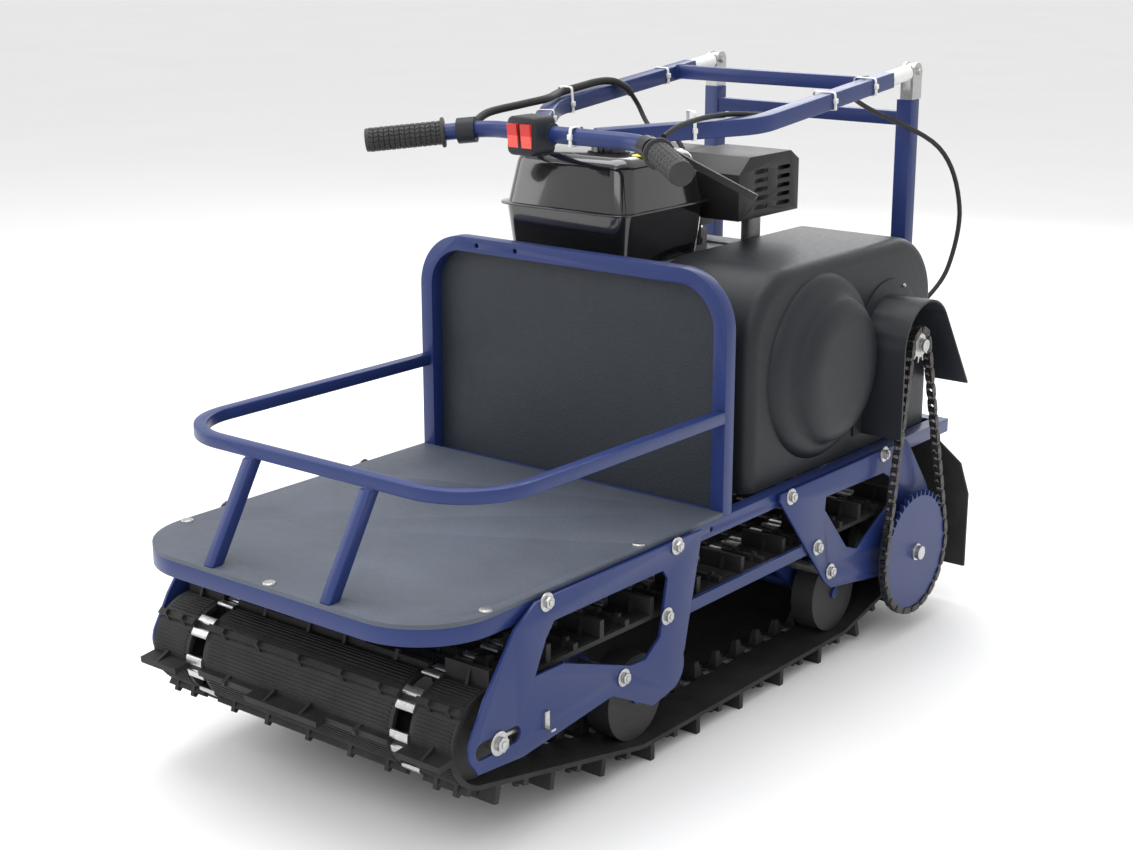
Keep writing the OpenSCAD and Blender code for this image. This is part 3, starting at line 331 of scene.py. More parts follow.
def add_lamp(name, place, aim, size, watts):
    data = bpy.data.lights.new(name, "AREA")
    data.size = size
    data.energy = watts
    lamp = bpy.data.objects.new(name, data)
    lamp.location = place
    lamp.rotation_euler = (Vector(aim) - Vector(place)).to_track_quat("-Z", "Y").to_euler()
    bpy.context.scene.collection.objects.link(lamp)


def set_light():
    world = bpy.data.worlds.new("studio")
    world.use_nodes = True
    world.node_tree.nodes["Background"].inputs["Color"].default_value = (1, 1, 1, 1)
    world.node_tree.nodes["Background"].inputs["Strength"].default_value = 0.9
    bpy.context.scene.world = world
    add_lamp("key", (1.2, -3.0, 3.0), (0, 0, 0.3), 2.4, 40)
    add_lamp("top", (-0.6, 0.2, 3.4), (0, 0, 0.3), 2.6, 75)
    add_lamp("fill", (-2.8, -1.6, 1.6), (0, 0, 0.4), 2.0, 25)
    add_lamp("back", (-1.0, 3.2, 2.0), (0, 0, 0.4), 2.0, 30)
    bpy.context.scene.view_settings.view_transform = "Standard"


set_camera()
set_floor()
set_light()


# ---- modelling by hand: a primitive, edit mode, modifiers ----
def rest():
    bpy.ops.object.select_all(action="DESELECT")


def taken(name):
    obj = bpy.context.object
    obj.name = name
    bpy.ops.object.transform_apply(location=True, rotation=True, scale=True)
    return obj


def block(name, low, high):
    rest()
    low, high = Vector(low), Vector(high)
    bpy.ops.mesh.primitive_cube_add(size=1, location=(low + high) / 2, scale=high - low)
    return taken(name)


def rod(name, a, b, radius, sides=24):
    rest()
    a, b = Vector(a), Vector(b)
    turn = (b - a).to_track_quat("Z", "Y").to_euler()
    bpy.ops.mesh.primitive_cylinder_add(
        vertices=sides, radius=radius, depth=(b - a).length, location=(a + b) / 2, rotation=turn)
    return taken(name)


def ball(name, centre, radius, sides=20):
    rest()
    bpy.ops.mesh.primitive_uv_sphere_add(
        segments=sides, ring_count=sides // 2, radius=radius, location=centre)
    return taken(name)


def edit(obj, kind, pick):
    """Opens obj in edit mode with the vertices, edges or faces that pick chooses."""
    rest()
    bpy.context.view_layer.objects.active = obj
    obj.select_set(True)
    bpy.ops.object.mode_set(mode="EDIT")
    bpy.ops.mesh.select_mode(type=kind)
    bpy.ops.mesh.select_all(action="DESELECT")
    bpy.ops.object.mode_set(mode="OBJECT")
    mesh = obj.data
    if kind == "FACE":
        for face in mesh.polygons:
            face.select = bool(pick(face.center, face.normal))
    elif kind == "EDGE":
        for edge in mesh.edges:
            a, b = (mesh.vertices[i].co for i in edge.vertices)
            edge.select = bool(pick(a, b))
    else:
        for vert in mesh.vertices:
            vert.select = bool(pick(vert.co))
    bpy.ops.object.mode_set(mode="EDIT")


def done():
    bpy.ops.object.mode_set(mode="OBJECT")


def round_edges(obj, width, steps, pick):
    edit(obj, "EDGE", pick)
    bpy.ops.mesh.bevel(offset=width, segments=steps, affect="EDGES", profile=0.5)
    done()


def remove_faces(obj, pick):
    edit(obj, "FACE", pick)
    bpy.ops.mesh.delete(type="FACE")
    done()


def solid_modifier(obj, kind, **settings):
    rest()
    bpy.context.view_layer.objects.active = obj
    obj.select_set(True)
    made = obj.modifiers.new(kind.lower(), kind)
    for key, value in settings.items():
        setattr(made, key, value)
    bpy.ops.object.modifier_apply(modifier=made.name)


def soften(obj, width, steps=2, angle=35):
    solid_modifier(obj, "BEVEL", width=width, segments=steps,
                   limit_method="ANGLE", angle_limit=radians(angle))


def joined(name, parts):
    rest()
    for part in parts:
        part.select_set(True)
    bpy.context.view_layer.objects.active = parts[0]
    bpy.ops.object.join()
    parts[0].name = name
    return parts[0]


def repeat(name, model, places):
    copies = []
    for place in places:
        copy = model.copy()
        copy.data = model.data.copy()
        copy.data.transform(place)
        bpy.context.scene.collection.objects.link(copy)
        copies.append(copy)
    bpy.data.objects.remove(model)
    return joined(name, copies)


def fit(obj, material, body, slot, *stands_for, angle=35):
    rest()
    obj.select_set(True)
    bpy.context.view_layer.objects.active = obj
    bpy.ops.object.shade_smooth_by_angle(angle=radians(angle))
    dress(obj, material)
    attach(obj, body)
    if stands_for:
        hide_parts(*stands_for)
    return obj


def frame_at(origin, x_way, y_way, z_way):
    """The matrix that puts local axes along three ways at a point."""
    m = Matrix((x_way, y_way, z_way)).transposed().to_4x4()
    m.translation = Vector(origin)
    return m


# ---- closed loops round wheels, each wheel (y, z, r), taken counter-clockwise ----
class Loop:
    def __init__(self, wheels):
        self.wheels = wheels
        n = len(wheels)
        self.leave = [self._leave(wheels[i], wheels[(i + 1) % n]) for i in range(n)]
        self.runs = [self._run(wheels[i], wheels[(i + 1) % n]) for i in range(n)]
        self.wraps = [(self.leave[i] - self.leave[i - 1]) % (2 * pi) for i in range(n)]
        self.length = sum(self.runs) + sum(w[2] * a for w, a in zip(wheels, self.wraps))

    def _leave(self, a, b):
        return atan2(b[1] - a[1], b[0] - a[0]) - acos((a[2] - b[2]) / hypot(b[0] - a[0], b[1] - a[1]))

    def _run(self, a, b):
        return sqrt((b[0] - a[0]) ** 2 + (b[1] - a[1]) ** 2 - (a[2] - b[2]) ** 2)

    def at(self, s):
        """Place and outward angle at distance s from where the loop leaves its first wheel."""
        s %= self.length
        for i, (y, z, r) in enumerate(self.wheels):
            q = self.leave[i]
            if s < self.runs[i]:
                return y + r * cos(q) - s * sin(q), z + r * sin(q) + s * cos(q), q
            s -= self.runs[i]
            y, z, r = self.wheels[(i + 1) % len(self.wheels)]
            arc = self.wraps[(i + 1) % len(self.wheels)]
            if s < arc * r:
                t = q + s / r
                return y + r * cos(t), z + r * sin(t), t
            s -= arc * r
        return self.at(0)

    def stand(self, s, x=0.0):
        """Local X across, local Y along the loop, local Z outward."""
        y, z, q = self.at(s)
        return frame_at((x, y, z), (1, 0, 0), (0, sin(q), -cos(q)), (0, cos(q), sin(q)))


def wheel_of(node, more):
    low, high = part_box(node)
    mid = (low + high) / 2
    return mid.y, mid.z, (high.z - low.z) / 2 + more


def joint_spot(name):
    return Vector(joints[name]["pos_m"])


# ---- track: ribs, window clips, guide teeth and lug webs ----
BELT = 6 * mm
PITCH = 50 * mm
HALF_BELT = BELT / 2
AIR = 0.4 * mm
drive_spot = joint_spot("track_drive_spin")
drive_wheel = (drive_spot.y, drive_spot.z, 8 * PITCH / (2 * pi))
track = Loop([wheel_of("front_rollers", AIR + HALF_BELT), wheel_of("rear_rollers", AIR + HALF_BELT),
              drive_wheel, wheel_of("idler_wheels", AIR + HALF_BELT)])
first_row = -track.wheels[0][0]
rows = round(track.length / PITCH)
step = track.length / rows
WINDOW_X = 172 * mm
SUNK = 0.5 * mm
RIB_PITCH = 4.4 * mm
TOOTH_CLEAR = 90 * mm
half_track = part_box("track_belt")[1].x


def on_top_along_x(a, b):
    return a.z > HALF_BELT and b.z > HALF_BELT and abs(a.y - b.y) < 1e-6


def tread_ribs():
    spans = [(-152 * mm, 152 * mm), (192 * mm, half_track - 5 * mm), (5 * mm - half_track, -192 * mm)]
    bars = []
    for low, high in spans:
        bar = block("rib", (low, -1.1 * mm, HALF_BELT - SUNK), (high, 1.1 * mm, HALF_BELT + 1.3 * mm))
        round_edges(bar, 0.5 * mm, 1, on_top_along_x)
        bars.append(bar)
    places = [track.stand(first_row + (k + 0.5) * step + j * RIB_PITCH)
              for k in range(rows) for j in (-3, -2, -1, 0, 1, 2, 3)]
    return fit(repeat("tread_ribs", joined("rib_set", bars), places), TRACK, "chassis", "track_rubber")


def window_clips():
    clip = block("clip", (-13.5 * mm, -6 * mm, HALF_BELT - 1 * mm), (13.5 * mm, 6 * mm, HALF_BELT + 3 * mm))
    round_edges(clip, 3.2 * mm, 4, on_top_along_x)
    places = [track.stand(first_row + k * step + side * 8.5 * mm, x)
              for k in range(rows) for side in (-1, 1) for x in (-WINDOW_X, WINDOW_X)]
    return fit(repeat("window_clips", clip, places), ZINC, "chassis", "zinc_steel")


def guide_teeth():
    """Inner horns that run beside the wheels and keep the track in line."""
    horn = block("horn", (-7 * mm, -9 * mm, -HALF_BELT - 20 * mm), (7 * mm, 9 * mm, SUNK - HALF_BELT))
    edit(horn, "FACE", lambda c, n: n.z < -0.5)
    bpy.ops.transform.resize(value=(0.45, 0.5, 1), center_override=(0, 0, 0))
    done()
    soften(horn, 1.2 * mm)
    row_spots = [first_row + k * step for k in range(rows)]
    clear = [s for s in row_spots
             if abs(track.at(s)[0] - drive_wheel[0]) > TOOTH_CLEAR or track.at(s)[2] == 0]
    places = [track.stand(s, x) for s in clear for x in (-WINDOW_X - 2 * mm, WINDOW_X + 2 * mm)]
    return fit(repeat("guide_teeth", horn, places), TRACK, "chassis", "track_rubber")


def lug_web(x, wide, tall, long):
    """A tapered web across a ridge, with local Y along the track."""
    web = block("web", ((x - wide) * mm, -long * mm, HALF_BELT - SUNK),
                ((x + wide) * mm, long * mm, HALF_BELT + tall * mm))
    edit(web, "FACE", lambda c, n: n.z > 0.5)
    bpy.ops.transform.resize(value=(1, 0.35, 1), center_override=(x * mm, 0, 0))
    done()
    return web


def lug_webs():
    """Stiffening webs on the tall ground blocks, and small nubs on the low ridges between them."""
    tall = joined("web_set", [lug_web(x, 2, 20, 11) for x in (-222, -30, 30, 222)]
                  + [lug_web(x, 3, 12, 7) for x in (-110, 110)])
    low = joined("nub_set", [lug_web(x, 3, 13, 7) for x in (-235, -205, -130, -70, 0, 70, 130, 205, 235)])
    tall_rows = [track.stand(first_row + k * step) for k in range(0, rows, 2)]
    low_rows = [track.stand(first_row + k * step) for k in range(1, rows, 2)]
    parts = [repeat("tall_webs", tall, tall_rows), repeat("low_nubs", low, low_rows)]
    return fit(joined("lug_webs", parts), TRACK, "chassis", "track_rubber")


tread_ribs()
window_clips()
guide_teeth()
lug_webs()


# ---- drive chain, link by link ----
CHAIN_PITCH = 12.7 * mm
BIG_TEETH, SMALL_TEETH, LINKS = 44, 11, 78
chain_x = (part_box("drive_chain")[0].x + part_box("drive_chain")[1].x) / 2
jack_spot = joint_spot("jackshaft_spin")
big_r, small_r = (CHAIN_PITCH / 2 / sin(pi / n) for n in (BIG_TEETH, SMALL_TEETH))


def chain_places():
    """Where each pin sits: up one run, over the small sprocket, down the other run, round the big one."""
    loop = Loop([(drive_spot.y, drive_spot.z, big_r), (jack_spot.y, jack_spot.z, small_r)])
    up = loop.runs[0] / CHAIN_PITCH
    down = up + loop.wraps[1] * SMALL_TEETH / (2 * pi)
    spots = []
    for k in range(LINKS):
        if k < up:
            spots.append(loop.at(k * CHAIN_PITCH)[:2])
        elif k < down:
            t = loop.leave[0] + (k - up) * 2 * pi / SMALL_TEETH
            spots.append((jack_spot.y + small_r * cos(t), jack_spot.z + small_r * sin(t)))
        elif k < down + up:
            q, s = loop.leave[1], (k - down) * CHAIN_PITCH
            spots.append((jack_spot.y + small_r * cos(q) - s * sin(q),
                          jack_spot.z + small_r * sin(q) + s * cos(q)))
        else:
            t = loop.leave[1] + (k - down - up) * 2 * pi / BIG_TEETH
            spots.append((drive_spot.y + big_r * cos(t), drive_spot.z + big_r * sin(t)))
    return spots


def chain_link(name, plate_x, plate_r, pin_r, pin_half):
    """Two stadium plates and two pins, one pitch long along local Y."""
    parts = []
    for side in (-1, 1):
        inside, outside = side * plate_x - 0.6 * mm, side * plate_x + 0.6 * mm
        plate = rod("plate", (inside, 0, 0), (outside, 0, 0), plate_r, 12)
        for way in (-1, 1):
            edit(plate, "VERT", lambda v: v.y * way > 0.3 * plate_r)
            bpy.ops.transform.translate(value=(0, way * CHAIN_PITCH / 2, 0))
            done()
        parts.append(plate)
    for end in (-1, 1):
        y = end * CHAIN_PITCH / 2
        parts.append(rod("pin", (-pin_half, y, 0), (pin_half, y, 0), pin_r, 10))
    return joined(name, parts)


def drive_chain():
    spots = chain_places()
    places = []
    for (y0, z0), (y1, z1) in zip(spots, spots[1:] + spots[:1]):
        way = Vector((0, y1 - y0, z1 - z0)).normalized()
        middle = (chain_x, (y0 + y1) / 2, (z0 + z1) / 2)
        places.append(frame_at(middle, (1, 0, 0), way, Vector((1, 0, 0)).cross(way)))
    inner = repeat("inner_links", chain_link("inner", 3.3 * mm, 5.0 * mm, 3.9 * mm, 2.8 * mm), places[0::2])
    outer = repeat("outer_links", chain_link("outer", 4.9 * mm, 4.7 * mm, 1.8 * mm, 5.9 * mm), places[1::2])
    return fit(joined("chain_links", [inner, outer]), STEEL, "chassis", "dark_steel", "drive_chain")


drive_chain()


# ---- hood: a moulded shell with a stepped round bulge ----
HOOD_SIDE = 235 * mm


def hood_shell():
    low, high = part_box("hood")
    shell = block("hood_shell", (low.x, low.y, low.z), (HOOD_SIDE, high.y, high.z))
    round_edges(shell, 98 * mm, 14,
                lambda a, b: min(a.z, b.z) > high.z - mm and abs(a.y - b.y) < mm)
    remove_faces(shell, lambda c, n: n.x < -0.9 or n.z < -0.9)
    round_edges(shell, 20 * mm, 6,
                lambda a, b: min(a.x, b.x) > HOOD_SIDE - mm and max(a.z, b.z) > low.z + mm)
    solid_modifier(shell, "SOLIDIFY", thickness=3 * mm, offset=-1)
    return fit(shell, COVER, "chassis", "cover_plastic", "hood", angle=50)


def hood_bulge():
    spot = joint_spot("crank_spin")
    profile = [(234, 128), (238, 126), (243, 122), (247, 116), (249, 110), (250.5, 105), (254, 101.5),
               (260, 98), (266, 92), (270, 83), (272.4, 72), (273, 60), (273, 0)]
    mesh = bpy.data.meshes.new("hood_bulge")
    mesh.from_pydata([(x * mm, spot.y, spot.z + r * mm) for x, r in profile],
                     [(i, i + 1) for i in range(len(profile) - 1)], [])
    bulge = bpy.data.objects.new("hood_bulge", mesh)
    bpy.context.scene.collection.objects.link(bulge)
    edit(bulge, "VERT", lambda v: True)
    bpy.ops.mesh.spin(steps=72, angle=2 * pi, center=(0, spot.y, spot.z), axis=(1, 0, 0))
    bpy.ops.mesh.select_all(action="SELECT")
    bpy.ops.mesh.remove_doubles(threshold=0.00005)
    bpy.ops.mesh.normals_make_consistent(inside=False)
    done()
    edit(bulge, "VERT", lambda v: v.x > 252 * mm)
    bpy.ops.transform.translate(value=(0, 9 * mm, -3 * mm))
    done()
    return fit(bulge, COVER, "chassis", "cover_plastic", angle=60)


hood_shell()
hood_bulge()


# ---- fuel tank: two pressed halves, their seam, filler and cap ----
SEAM_OUT = 8 * mm


def tank():
    low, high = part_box("fuel_tank")
    seam = low.z + 77 * mm
    middle = ((low.x + high.x) / 2, (low.y + high.y) / 2, 0)
    lower = block("tank_lower", (low.x + SEAM_OUT, low.y + SEAM_OUT, low.z),
                  (high.x - SEAM_OUT, high.y - SEAM_OUT, seam))
    edit(lower, "FACE", lambda c, n: n.z < -0.5)
    bpy.ops.transform.resize(value=(0.93, 0.93, 1), center_override=middle)
    done()
    round_edges(lower, 22 * mm, 6, lambda a, b: abs(a.z - b.z) > 20 * mm)
    round_edges(lower, 10 * mm, 4, lambda a, b: max(a.z, b.z) < low.z + mm)
    upper = block("tank_upper", (low.x + SEAM_OUT, low.y + SEAM_OUT, seam),
                  (high.x - SEAM_OUT, high.y - SEAM_OUT, high.z - 5 * mm))
    edit(upper, "FACE", lambda c, n: n.z > 0.5)
    bpy.ops.transform.resize(value=(0.90, 0.87, 1), center_override=middle)
    done()
    round_edges(upper, 26 * mm, 7, lambda a, b: abs(a.z - b.z) > 20 * mm)
    round_edges(upper, 16 * mm, 6, lambda a, b: min(a.z, b.z) > high.z - 6 * mm)
    flange = block("tank_seam", (low.x, low.y, seam - 1.5 * mm), (high.x, high.y, seam + 1.5 * mm))
    round_edges(flange, 28 * mm, 7, lambda a, b: abs(a.z - b.z) > mm)
    soften(flange, 1.2 * mm)
    at = joint_spot("fuel_cap_turn")
    neck = rod("neck", (at.x, at.y, high.z - 8 * mm), (at.x, at.y, high.z), 25 * mm, 32)
    shell = joined("tank_shell", [lower, upper, flange, neck])
    return fit(shell, ENAMEL, "chassis", "engine_black", "fuel_tank", angle=40)


def cap():
    low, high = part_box("fuel_cap")
    at = (low + high) / 2
    body = rod("cap_body", (at.x, at.y, low.z), (at.x, at.y, high.z), (high.x - low.x) / 2 - mm, 24)
    edit(body, "FACE", lambda c, n: abs(n.z) < 0.5)
    bpy.ops.mesh.inset(thickness=1.4 * mm, depth=1.0 * mm, use_individual=True)
    done()
    soften(body, 0.8 * mm, 1, 50)
    return fit(body, BLACK, "cap", "cover_plastic", "fuel_cap")


tank()
cap()


# ---- grips with raised lozenges ----
def grip(name, body, node, start, end, radius):
    way = (end - start).normalized()
    flange = rod("flange", start, start + way * 5 * mm, radius + 4 * mm, 32)
    soften(flange, 1.5 * mm)
    sleeve_rows, sides = 14, 16
    length = (end - start).length - 9 * mm
    tube = rod("tube", (0, 0, 0), (0, 0, length), radius - 1.3 * mm, sides)
    edit(tube, "EDGE", lambda a, b: abs(a.z - b.z) > length / 2)
    bpy.ops.mesh.subdivide(number_cuts=sleeve_rows - 1)
    done()
    for k in range(sleeve_rows + 1):
        if k % 2:
            edit(tube, "VERT", lambda v: abs(v.z - k * length / sleeve_rows) < 0.3 * mm)
            bpy.ops.transform.rotate(value=pi / sides, orient_axis="Z", center_override=(0, 0, 0))
            done()
    edit(tube, "FACE", lambda c, n: abs(n.z) < 0.5)
    bpy.ops.mesh.inset(thickness=0.9 * mm, depth=1.3 * mm, use_individual=True)
    done()
    turn = way.to_track_quat("Z", "Y").to_matrix().to_4x4()
    turn.translation = start + way * 4 * mm
    tube.data.transform(turn)
    tail = rod("tail", end - way * 7 * mm, end, radius - 0.5 * mm, 32)
    soften(tail, 2.0 * mm, 3)
    hub = rod("hub", end - way * 1.2 * mm, end + way * 0.2 * mm, 3.5 * mm, 12)
    return fit(joined(name, [flange, tube, tail, hub]), GRIP, body, "grip_rubber", node, angle=30)


# ---- carried-over parts with their sharp edges broken ----
def eased(node, material, body, slot, width):
    """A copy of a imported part's mesh, merged, with its edges rounded a little as paint leaves them."""
    source = frame["nodes"][node]
    copy = source.copy()
    copy.data = source.data.copy()
    copy.parent = None
    bpy.context.scene.collection.objects.link(copy)
    copy.name = node + "_eased"
    copy.hide_render = copy.hide_viewport = False
    for key in [k for k in copy.keys() if k.startswith("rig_")]:
        del copy[key]
    edit(copy, "VERT", lambda v: True)
    bpy.ops.mesh.remove_doubles(threshold=0.00001)
    bpy.ops.mesh.dissolve_limited(angle_limit=radians(0.5))
    done()
    soften(copy, width)
    return fit(copy, material, body, slot, node, angle=40)


# ---- sweeps along filleted routes ----
def filleted(points, radii):
    """Points of a route whose inner corners are rounded by the radii, given in order."""
    points = [Vector(p) for p in points]
    route = [points[0]]
    for before, corner, after, radius in zip(points, points[1:], points[2:], radii):
        way_in, way_out = (corner - before).normalized(), (after - corner).normalized()
        reach = radius * sqrt((1 - way_in.dot(way_out)) / (1 + way_in.dot(way_out)))
        start, end = corner - way_in * reach, corner + way_out * reach
        for k in range(9):
            t = k / 8
            route.append(start * (1 - t) ** 2 + corner * 2 * t * (1 - t) + end * t * t)
    return route + [points[-1]]


def swept(name, route, half, sides=16, square=False):
    """A closed tube, round or square with eased edges, along a route of points."""
    count = 4 if square else sides
    size = half * sqrt(2) if square else half
    rings = []
    across = (route[1] - route[0]).cross(Vector((0, 0, 1)))
    for i, point in enumerate(route):
        way = (route[min(i + 1, len(route) - 1)] - route[max(i - 1, 0)]).normalized()
        across = (across - way * across.dot(way)).normalized()
        up = across.cross(way)
        rings.append([point + size * (across * cos(a) + up * sin(a))
                      for a in ((k + 0.5 * square) * 2 * pi / count for k in range(count))])
    mesh = bpy.data.meshes.new(name)
    last = len(route) - 1
    faces = [(i * count + k, i * count + (k + 1) % count,
              (i + 1) * count + (k + 1) % count, (i + 1) * count + k)
             for i in range(last) for k in range(count)]
    faces += [tuple(range(count))[::-1], tuple(last * count + k for k in range(count))]
    mesh.from_pydata([v for ring in rings for v in ring], [], faces)
    tube = bpy.data.objects.new(name, mesh)
    bpy.context.scene.collection.objects.link(tube)
    edit(tube, "VERT", lambda v: True)
    bpy.ops.mesh.normals_make_consistent(inside=False)
    done()
    if square:
        soften(tube, 1.8 * mm, 3, 50)
    return tube


# ---- handlebar: two square arms bent into a round bar ----
BAR_R = 11 * mm
fold_spot, twist_spot = joint_spot("handlebar_fold"), joint_spot("throttle_twist")
grip_in = Vector((-twist_spot.x, twist_spot.y, twist_spot.z))
grip_way = Vector(joints["throttle_twist"]["axis"])
grip_way = Vector((abs(grip_way.x), grip_way.y, grip_way.z)).normalized()
if grip_way.y > 0:
    grip_way = Vector((grip_way.x, -grip_way.y, -grip_way.z))
bar_y, bar_z = fold_spot.y - 601 * mm, fold_spot.z - 50 * mm
bar_turn = Vector((124 * mm, bar_y, bar_z))
arm_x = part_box("arm_sleeves")[1].x - BAR_R
arm_end = Vector((arm_x, fold_spot.y, fold_spot.z))
arm_bend = Vector((arm_x, fold_spot.y - 405 * mm, fold_spot.z - 42 * mm))
arm_front = Vector((50 * mm, bar_y + 8 * mm, bar_z))


def flip(v):
    return Vector((-v.x, v.y, v.z))


def handlebar_arms():
    way = (arm_bend - arm_end).normalized()
    corners = [arm_end + way * 70 * mm, arm_bend, arm_front]
    parts = [swept("arm", filleted(route, [90 * mm]), BAR_R, square=True)
             for route in (corners, [flip(v) for v in corners])]
    cross_at = fold_spot.y - 112 * mm
    cross = block("cross", (13 * mm - arm_x, cross_at - 10 * mm, fold_spot.z - 21 * mm),
                  (arm_x - 13 * mm, cross_at + 10 * mm, fold_spot.z - 1 * mm))
    soften(cross, 1.8 * mm)
    parts.append(cross)
    spot = Vector((arm_x - 11.5 * mm, cross_at, fold_spot.z - 11 * mm))
    reach = Vector((2, 11.5, 11.5)) * mm
    for mirrored in (False, True):
        bead = block("bead", spot - reach, spot + reach)
        soften(bead, 1.8 * mm)
        if mirrored:
            bead.data.transform(Matrix.Scale(-1, 4, (1, 0, 0)))
            bead.data.flip_normals()
        parts.append(bead)
    arms = joined("handlebar_arms", parts)
    return fit(arms, PAINT, "handlebar_set", "blue_paint", "handlebar_frame", angle=40)


def bent_bar():
    tip = grip_in + grip_way * 112 * mm
    corners = [flip(tip), flip(grip_in), flip(bar_turn), bar_turn, grip_in, tip]
    bar = swept("bent_bar", filleted(corners, [70 * mm, 90 * mm, 90 * mm, 70 * mm]), BAR_R, 24)
    return fit(bar, PAINT, "handlebar_set", "blue_paint", "handlebar")


def hand_grips():
    start, end = grip_in + grip_way * 12 * mm, grip_in + grip_way * 118 * mm
    grip("left_hand_grip", "handlebar_set", "left_grip", start, end, 16 * mm)
    grip("twist_hand_grip", "twist_grip", "throttle_grip", flip(start), flip(end), 16 * mm)


def switch_case():
    low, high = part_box("switch_box")
    case = block("switch_case", low, (high.x, high.y + 4 * mm, high.z))
    round_edges(case, 9 * mm, 5, lambda a, b: abs(a.y - b.y) > 10 * mm)
    round_edges(case, 4 * mm, 3, lambda a, b: max(a.y, b.y) < low.y + mm)
    bead = block("frame", (low.x + 3.2 * mm, low.y - 1.0 * mm, low.z + 6 * mm),
                 (high.x - 3.2 * mm, low.y + 2 * mm, high.z - 5 * mm))
    soften(bead, 1.4 * mm)
    clamp = rod("clamp", (low.x - 1 * mm, bar_y, bar_z), (high.x + 1 * mm, bar_y, bar_z), 15 * mm, 32)
    soften(clamp, 1.5 * mm)
    whole = joined("switch_case", [case, bead, clamp])
    return fit(whole, COVER, "handlebar_set", "cover_plastic", "switch_box")


handlebar_arms()
bent_bar()
hand_grips()
switch_case()


# ---- cables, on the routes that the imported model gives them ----
CABLE_R = 3.5 * mm
SLEEVE_R = 5.5 * mm


def curve_points(points, steps):
    """The smooth route through the given points, in metres."""
    p = [Vector(q) * mm for q in points]
    route = []
    for i in range(len(p) - 1):
        a, b, c, d = p[max(i - 1, 0)], p[i], p[i + 1], p[min(i + 2, len(p) - 1)]
        for k in range(steps):
            t = k / steps
            route.append(0.5 * (2 * b + (c - a) * t + (2 * a - 5 * b + 4 * c - d) * t * t
                                + (3 * b - a - 3 * c + d) * t * t * t))
    return route + [p[-1]]


NEAR_CABLE = [(149, -54, 758), (147, -21, 767), (142, 39, 772), (145, 94, 772.5), (155, 151, 768),
              (155, 200, 765), (155, 323, 778), (155, 376, 776)]
FAR_CABLE = [(-154, -66, 753), (-158, -31, 765), (-148, 29, 772), (-146, 79, 776), (-171, 137, 778),
             (-172, 180, 782.5), (-168, 223, 787.5), (-157, 243, 787), (-151, 263, 778.5),
             (-148, 275, 768)]
BRAKE_DROP = [(155, 377, 776), (155, 393, 771), (161, 433, 752), (212, 550, 690), (230, 590, 600),
              (224, 576, 510), (212, 532, 465), (212, 513.4, 465)]
THROTTLE_DROP = [(-148, 276, 767), (-145, 289, 750), (-130, 288, 728), (-100, 272, 713), (-52, 256, 711),
                 (-28, 250, 672), (-28, 250, 600.092), (-28, 250, 580.192)]


def cable(name, points, radius, body, node):
    route = curve_points(points, 8)
    tube = swept(name, route, radius, 12)
    length = sum((b - a).length for a, b in zip(route, route[1:]))
    fit(tube, CABLE, body, "cable_black", node)


def cables():
    cable("near_cable", NEAR_CABLE, CABLE_R, "handlebar_set", "handlebar_cables")
    cable("far_sleeve", FAR_CABLE, SLEEVE_R, "handlebar_set", "handlebar_cables")
    cable("brake_drop", BRAKE_DROP, CABLE_R, "chassis", "cable_drops")
    cable("throttle_drop", THROTTLE_DROP, CABLE_R, "chassis", "cable_drops")


def strap(name, centre, way, half_across, low, high):
    """A flat tie round a tube that runs along way: from low to high in height, half_across to each side."""
    way = Vector(way).normalized()
    across = way.cross(Vector((0, 0, 1))).normalized()
    up = across.cross(way)
    loop = block(name, (-half_across, -2.2 * mm, low), (half_across, 2.2 * mm, high))
    round_edges(loop, 3 * mm, 3, lambda a, b: abs(a.y - b.y) > mm)
    remove_faces(loop, lambda c, n: abs(n.y) > 0.9)
    solid_modifier(loop, "SOLIDIFY", thickness=1.1 * mm, offset=1)
    head = block("head", (half_across - mm, -3 * mm, -3 * mm), (half_across + 4 * mm, 3 * mm, 4 * mm))
    soften(head, 0.8 * mm)
    tail = block("tail", (half_across + 0.5 * mm, -1.6 * mm, -12 * mm), (half_across + 2 * mm, 1.6 * mm, 0))
    strap_set = joined(name, [loop, head, tail])
    strap_set.data.transform(frame_at(centre, across, way, up))
    return strap_set


def cable_ties():
    front = (arm_bend - arm_front).normalized()
    far_front = flip(front)
    rear = (arm_end - arm_bend).normalized()
    low, flush = -11.6 * mm, 11.6 * mm
    parts = [strap("tie", arm_front.lerp(arm_bend, 0.58), front, flush, low, 24 * mm),
             strap("tie", flip(arm_front.lerp(arm_bend, 0.52)), far_front, flush, low, flush),
             strap("tie", flip(arm_bend.lerp(arm_end, 0.07)), rear, flush, low, 24 * mm),
             strap("tie", flip(arm_bend.lerp(arm_end, 0.64)), rear, flush, low, flush),
             strap("tie", (24 * mm, bar_y, bar_z), (1, 0, 0), flush, low, flush)]
    for t in (0.42, 0.69):
        spot = arm_bend.lerp(arm_end, t) - Vector((4.2 * mm, 0, 0))
        parts.append(strap("tie", spot, rear, 16.6 * mm, low, flush))
    return fit(joined("cable_ties", parts), TIE, "handlebar_set", "cable_black")


cables()
cable_ties()


# ---- fasteners: hex bolts on washers, domed deck screws, rivets ----
def hex_bolt(radius, head):
    """A washer and a hex head standing on the X = 0 plane."""
    washer = rod("washer", (0, 0, 0), (1.8 * mm, 0, 0), radius * 1.5, 28)
    soften(washer, 0.4 * mm)
    nut = rod("hex", (1.8 * mm, 0, 0), (1.8 * mm + head, 0, 0), radius, 6)
    soften(nut, 0.9 * mm, 2)
    stub = rod("stub", (1.8 * mm + head, 0, 0), (3.4 * mm + head, 0, 0), radius * 0.5, 16)
    soften(stub, 0.5 * mm)
    return joined("hex_bolt", [washer, nut, stub])


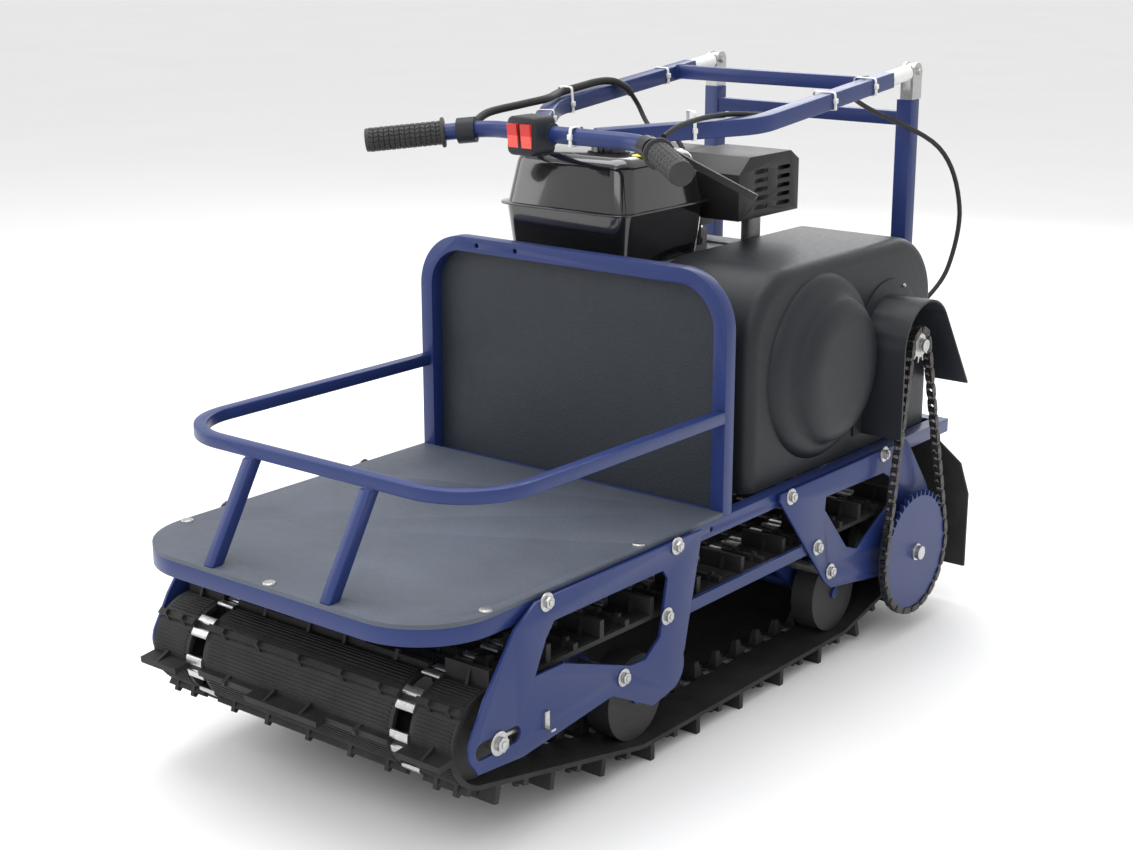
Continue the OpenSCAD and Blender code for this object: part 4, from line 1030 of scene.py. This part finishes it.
front_at, rear_at = joint_spot("front_rollers_spin").y, joint_spot("rear_rollers_spin").y
rail_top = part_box("chassis_frame")[1].z
plate_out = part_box("front_side_plates")[1].x
pivots = [joint_spot(n) for n in ("front_arm_swing", "rear_arm_swing")]
BOLTS = [(p.y, p.z) for p in pivots] + [
    (front_at - 216 * mm, rail_top - 4 * mm), (front_at + 35 * mm, rail_top - 6 * mm),
    (front_at + 16 * mm, 196 * mm), (rear_at - 178 * mm, rail_top - 8 * mm),
    (rear_at - 106 * mm, 189 * mm), (drive_spot.y - 66 * mm, rail_top - 6 * mm)]


def fasteners():
    turned = Matrix.Rotation(pi, 4, "Z")
    idler = joint_spot("idler_spin")

    def both(spots):
        return ([Matrix.Translation((plate_out, y, z)) for y, z in spots]
                + [Matrix.Translation((-plate_out, y, z)) @ turned for y, z in spots])

    parts = [repeat("small_bolts", hex_bolt(7.5 * mm, 5.5 * mm), both(BOLTS)),
             repeat("axle_bolts", hex_bolt(9.5 * mm, 7 * mm), both([(idler.y, idler.z)]))]
    low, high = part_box("cargo_deck")
    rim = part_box("chassis_frame")[1].x
    spots = [(0, low.y + 10 * mm)] + [(side * (rim - 10 * mm), y) for side in (-1, 1)
                                      for y in (low.y + 100 * mm, -230 * mm)]
    for x, y in spots:
        dome = rod("dome", (x, y, high.z - 1 * mm), (x, y, high.z + 2.2 * mm), 8 * mm, 24)
        round_edges(dome, 1.8 * mm, 4, lambda a, b: min(a.z, b.z) > high.z + 2 * mm)
        parts.append(dome)
    return fit(joined("hex_bolts_and_screws", parts), ZINC, "chassis", "zinc_steel", "frame_fasteners")


def guard_rivets():
    wall = 237 * mm
    parts = [ball("rivet", (wall, y * mm, z * mm), 3.2 * mm, 12)
             for y, z in ((418, 508), (350, 470), (318, 430), (304, 360))]
    return fit(joined("guard_rivets", parts), ZINC, "chassis", "zinc_steel")


def tank_label():
    spot = (28 * mm, 60 * mm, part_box("fuel_tank")[1].z - 5.4 * mm)
    patch = rod("tank_label", spot, (spot[0], spot[1], spot[2] + 1.0 * mm), 11 * mm, 24)
    soften(patch, 0.3 * mm)
    return fit(patch, YELLOW, "chassis", "engine_black")


fasteners()
guard_rivets()
tank_label()

EASED = [("chassis_frame", PAINT, "blue_paint", 2.2), ("front_side_plates", PAINT, "blue_paint", 0.7),
         ("rear_side_plates", PAINT, "blue_paint", 0.7), ("guard_rail", PAINT, "blue_paint", 1.8),
         ("backrest_hoop", PAINT, "blue_paint", 2.0), ("upright_frame", PAINT, "blue_paint", 2.0),
         ("cargo_deck", DECK, "deck_panel", 1.0), ("chain_guard", COVER, "cover_plastic", 0.9),
         ("muffler_guard", BLACK, "black_metal", 0.8), ("air_cleaner", COVER, "cover_plastic", 5.0),
         ("mudflap", TRACK, "track_rubber", 0.8)]
for node, material, slot, width in EASED:
    eased(node, material, "chassis", slot, width * mm)
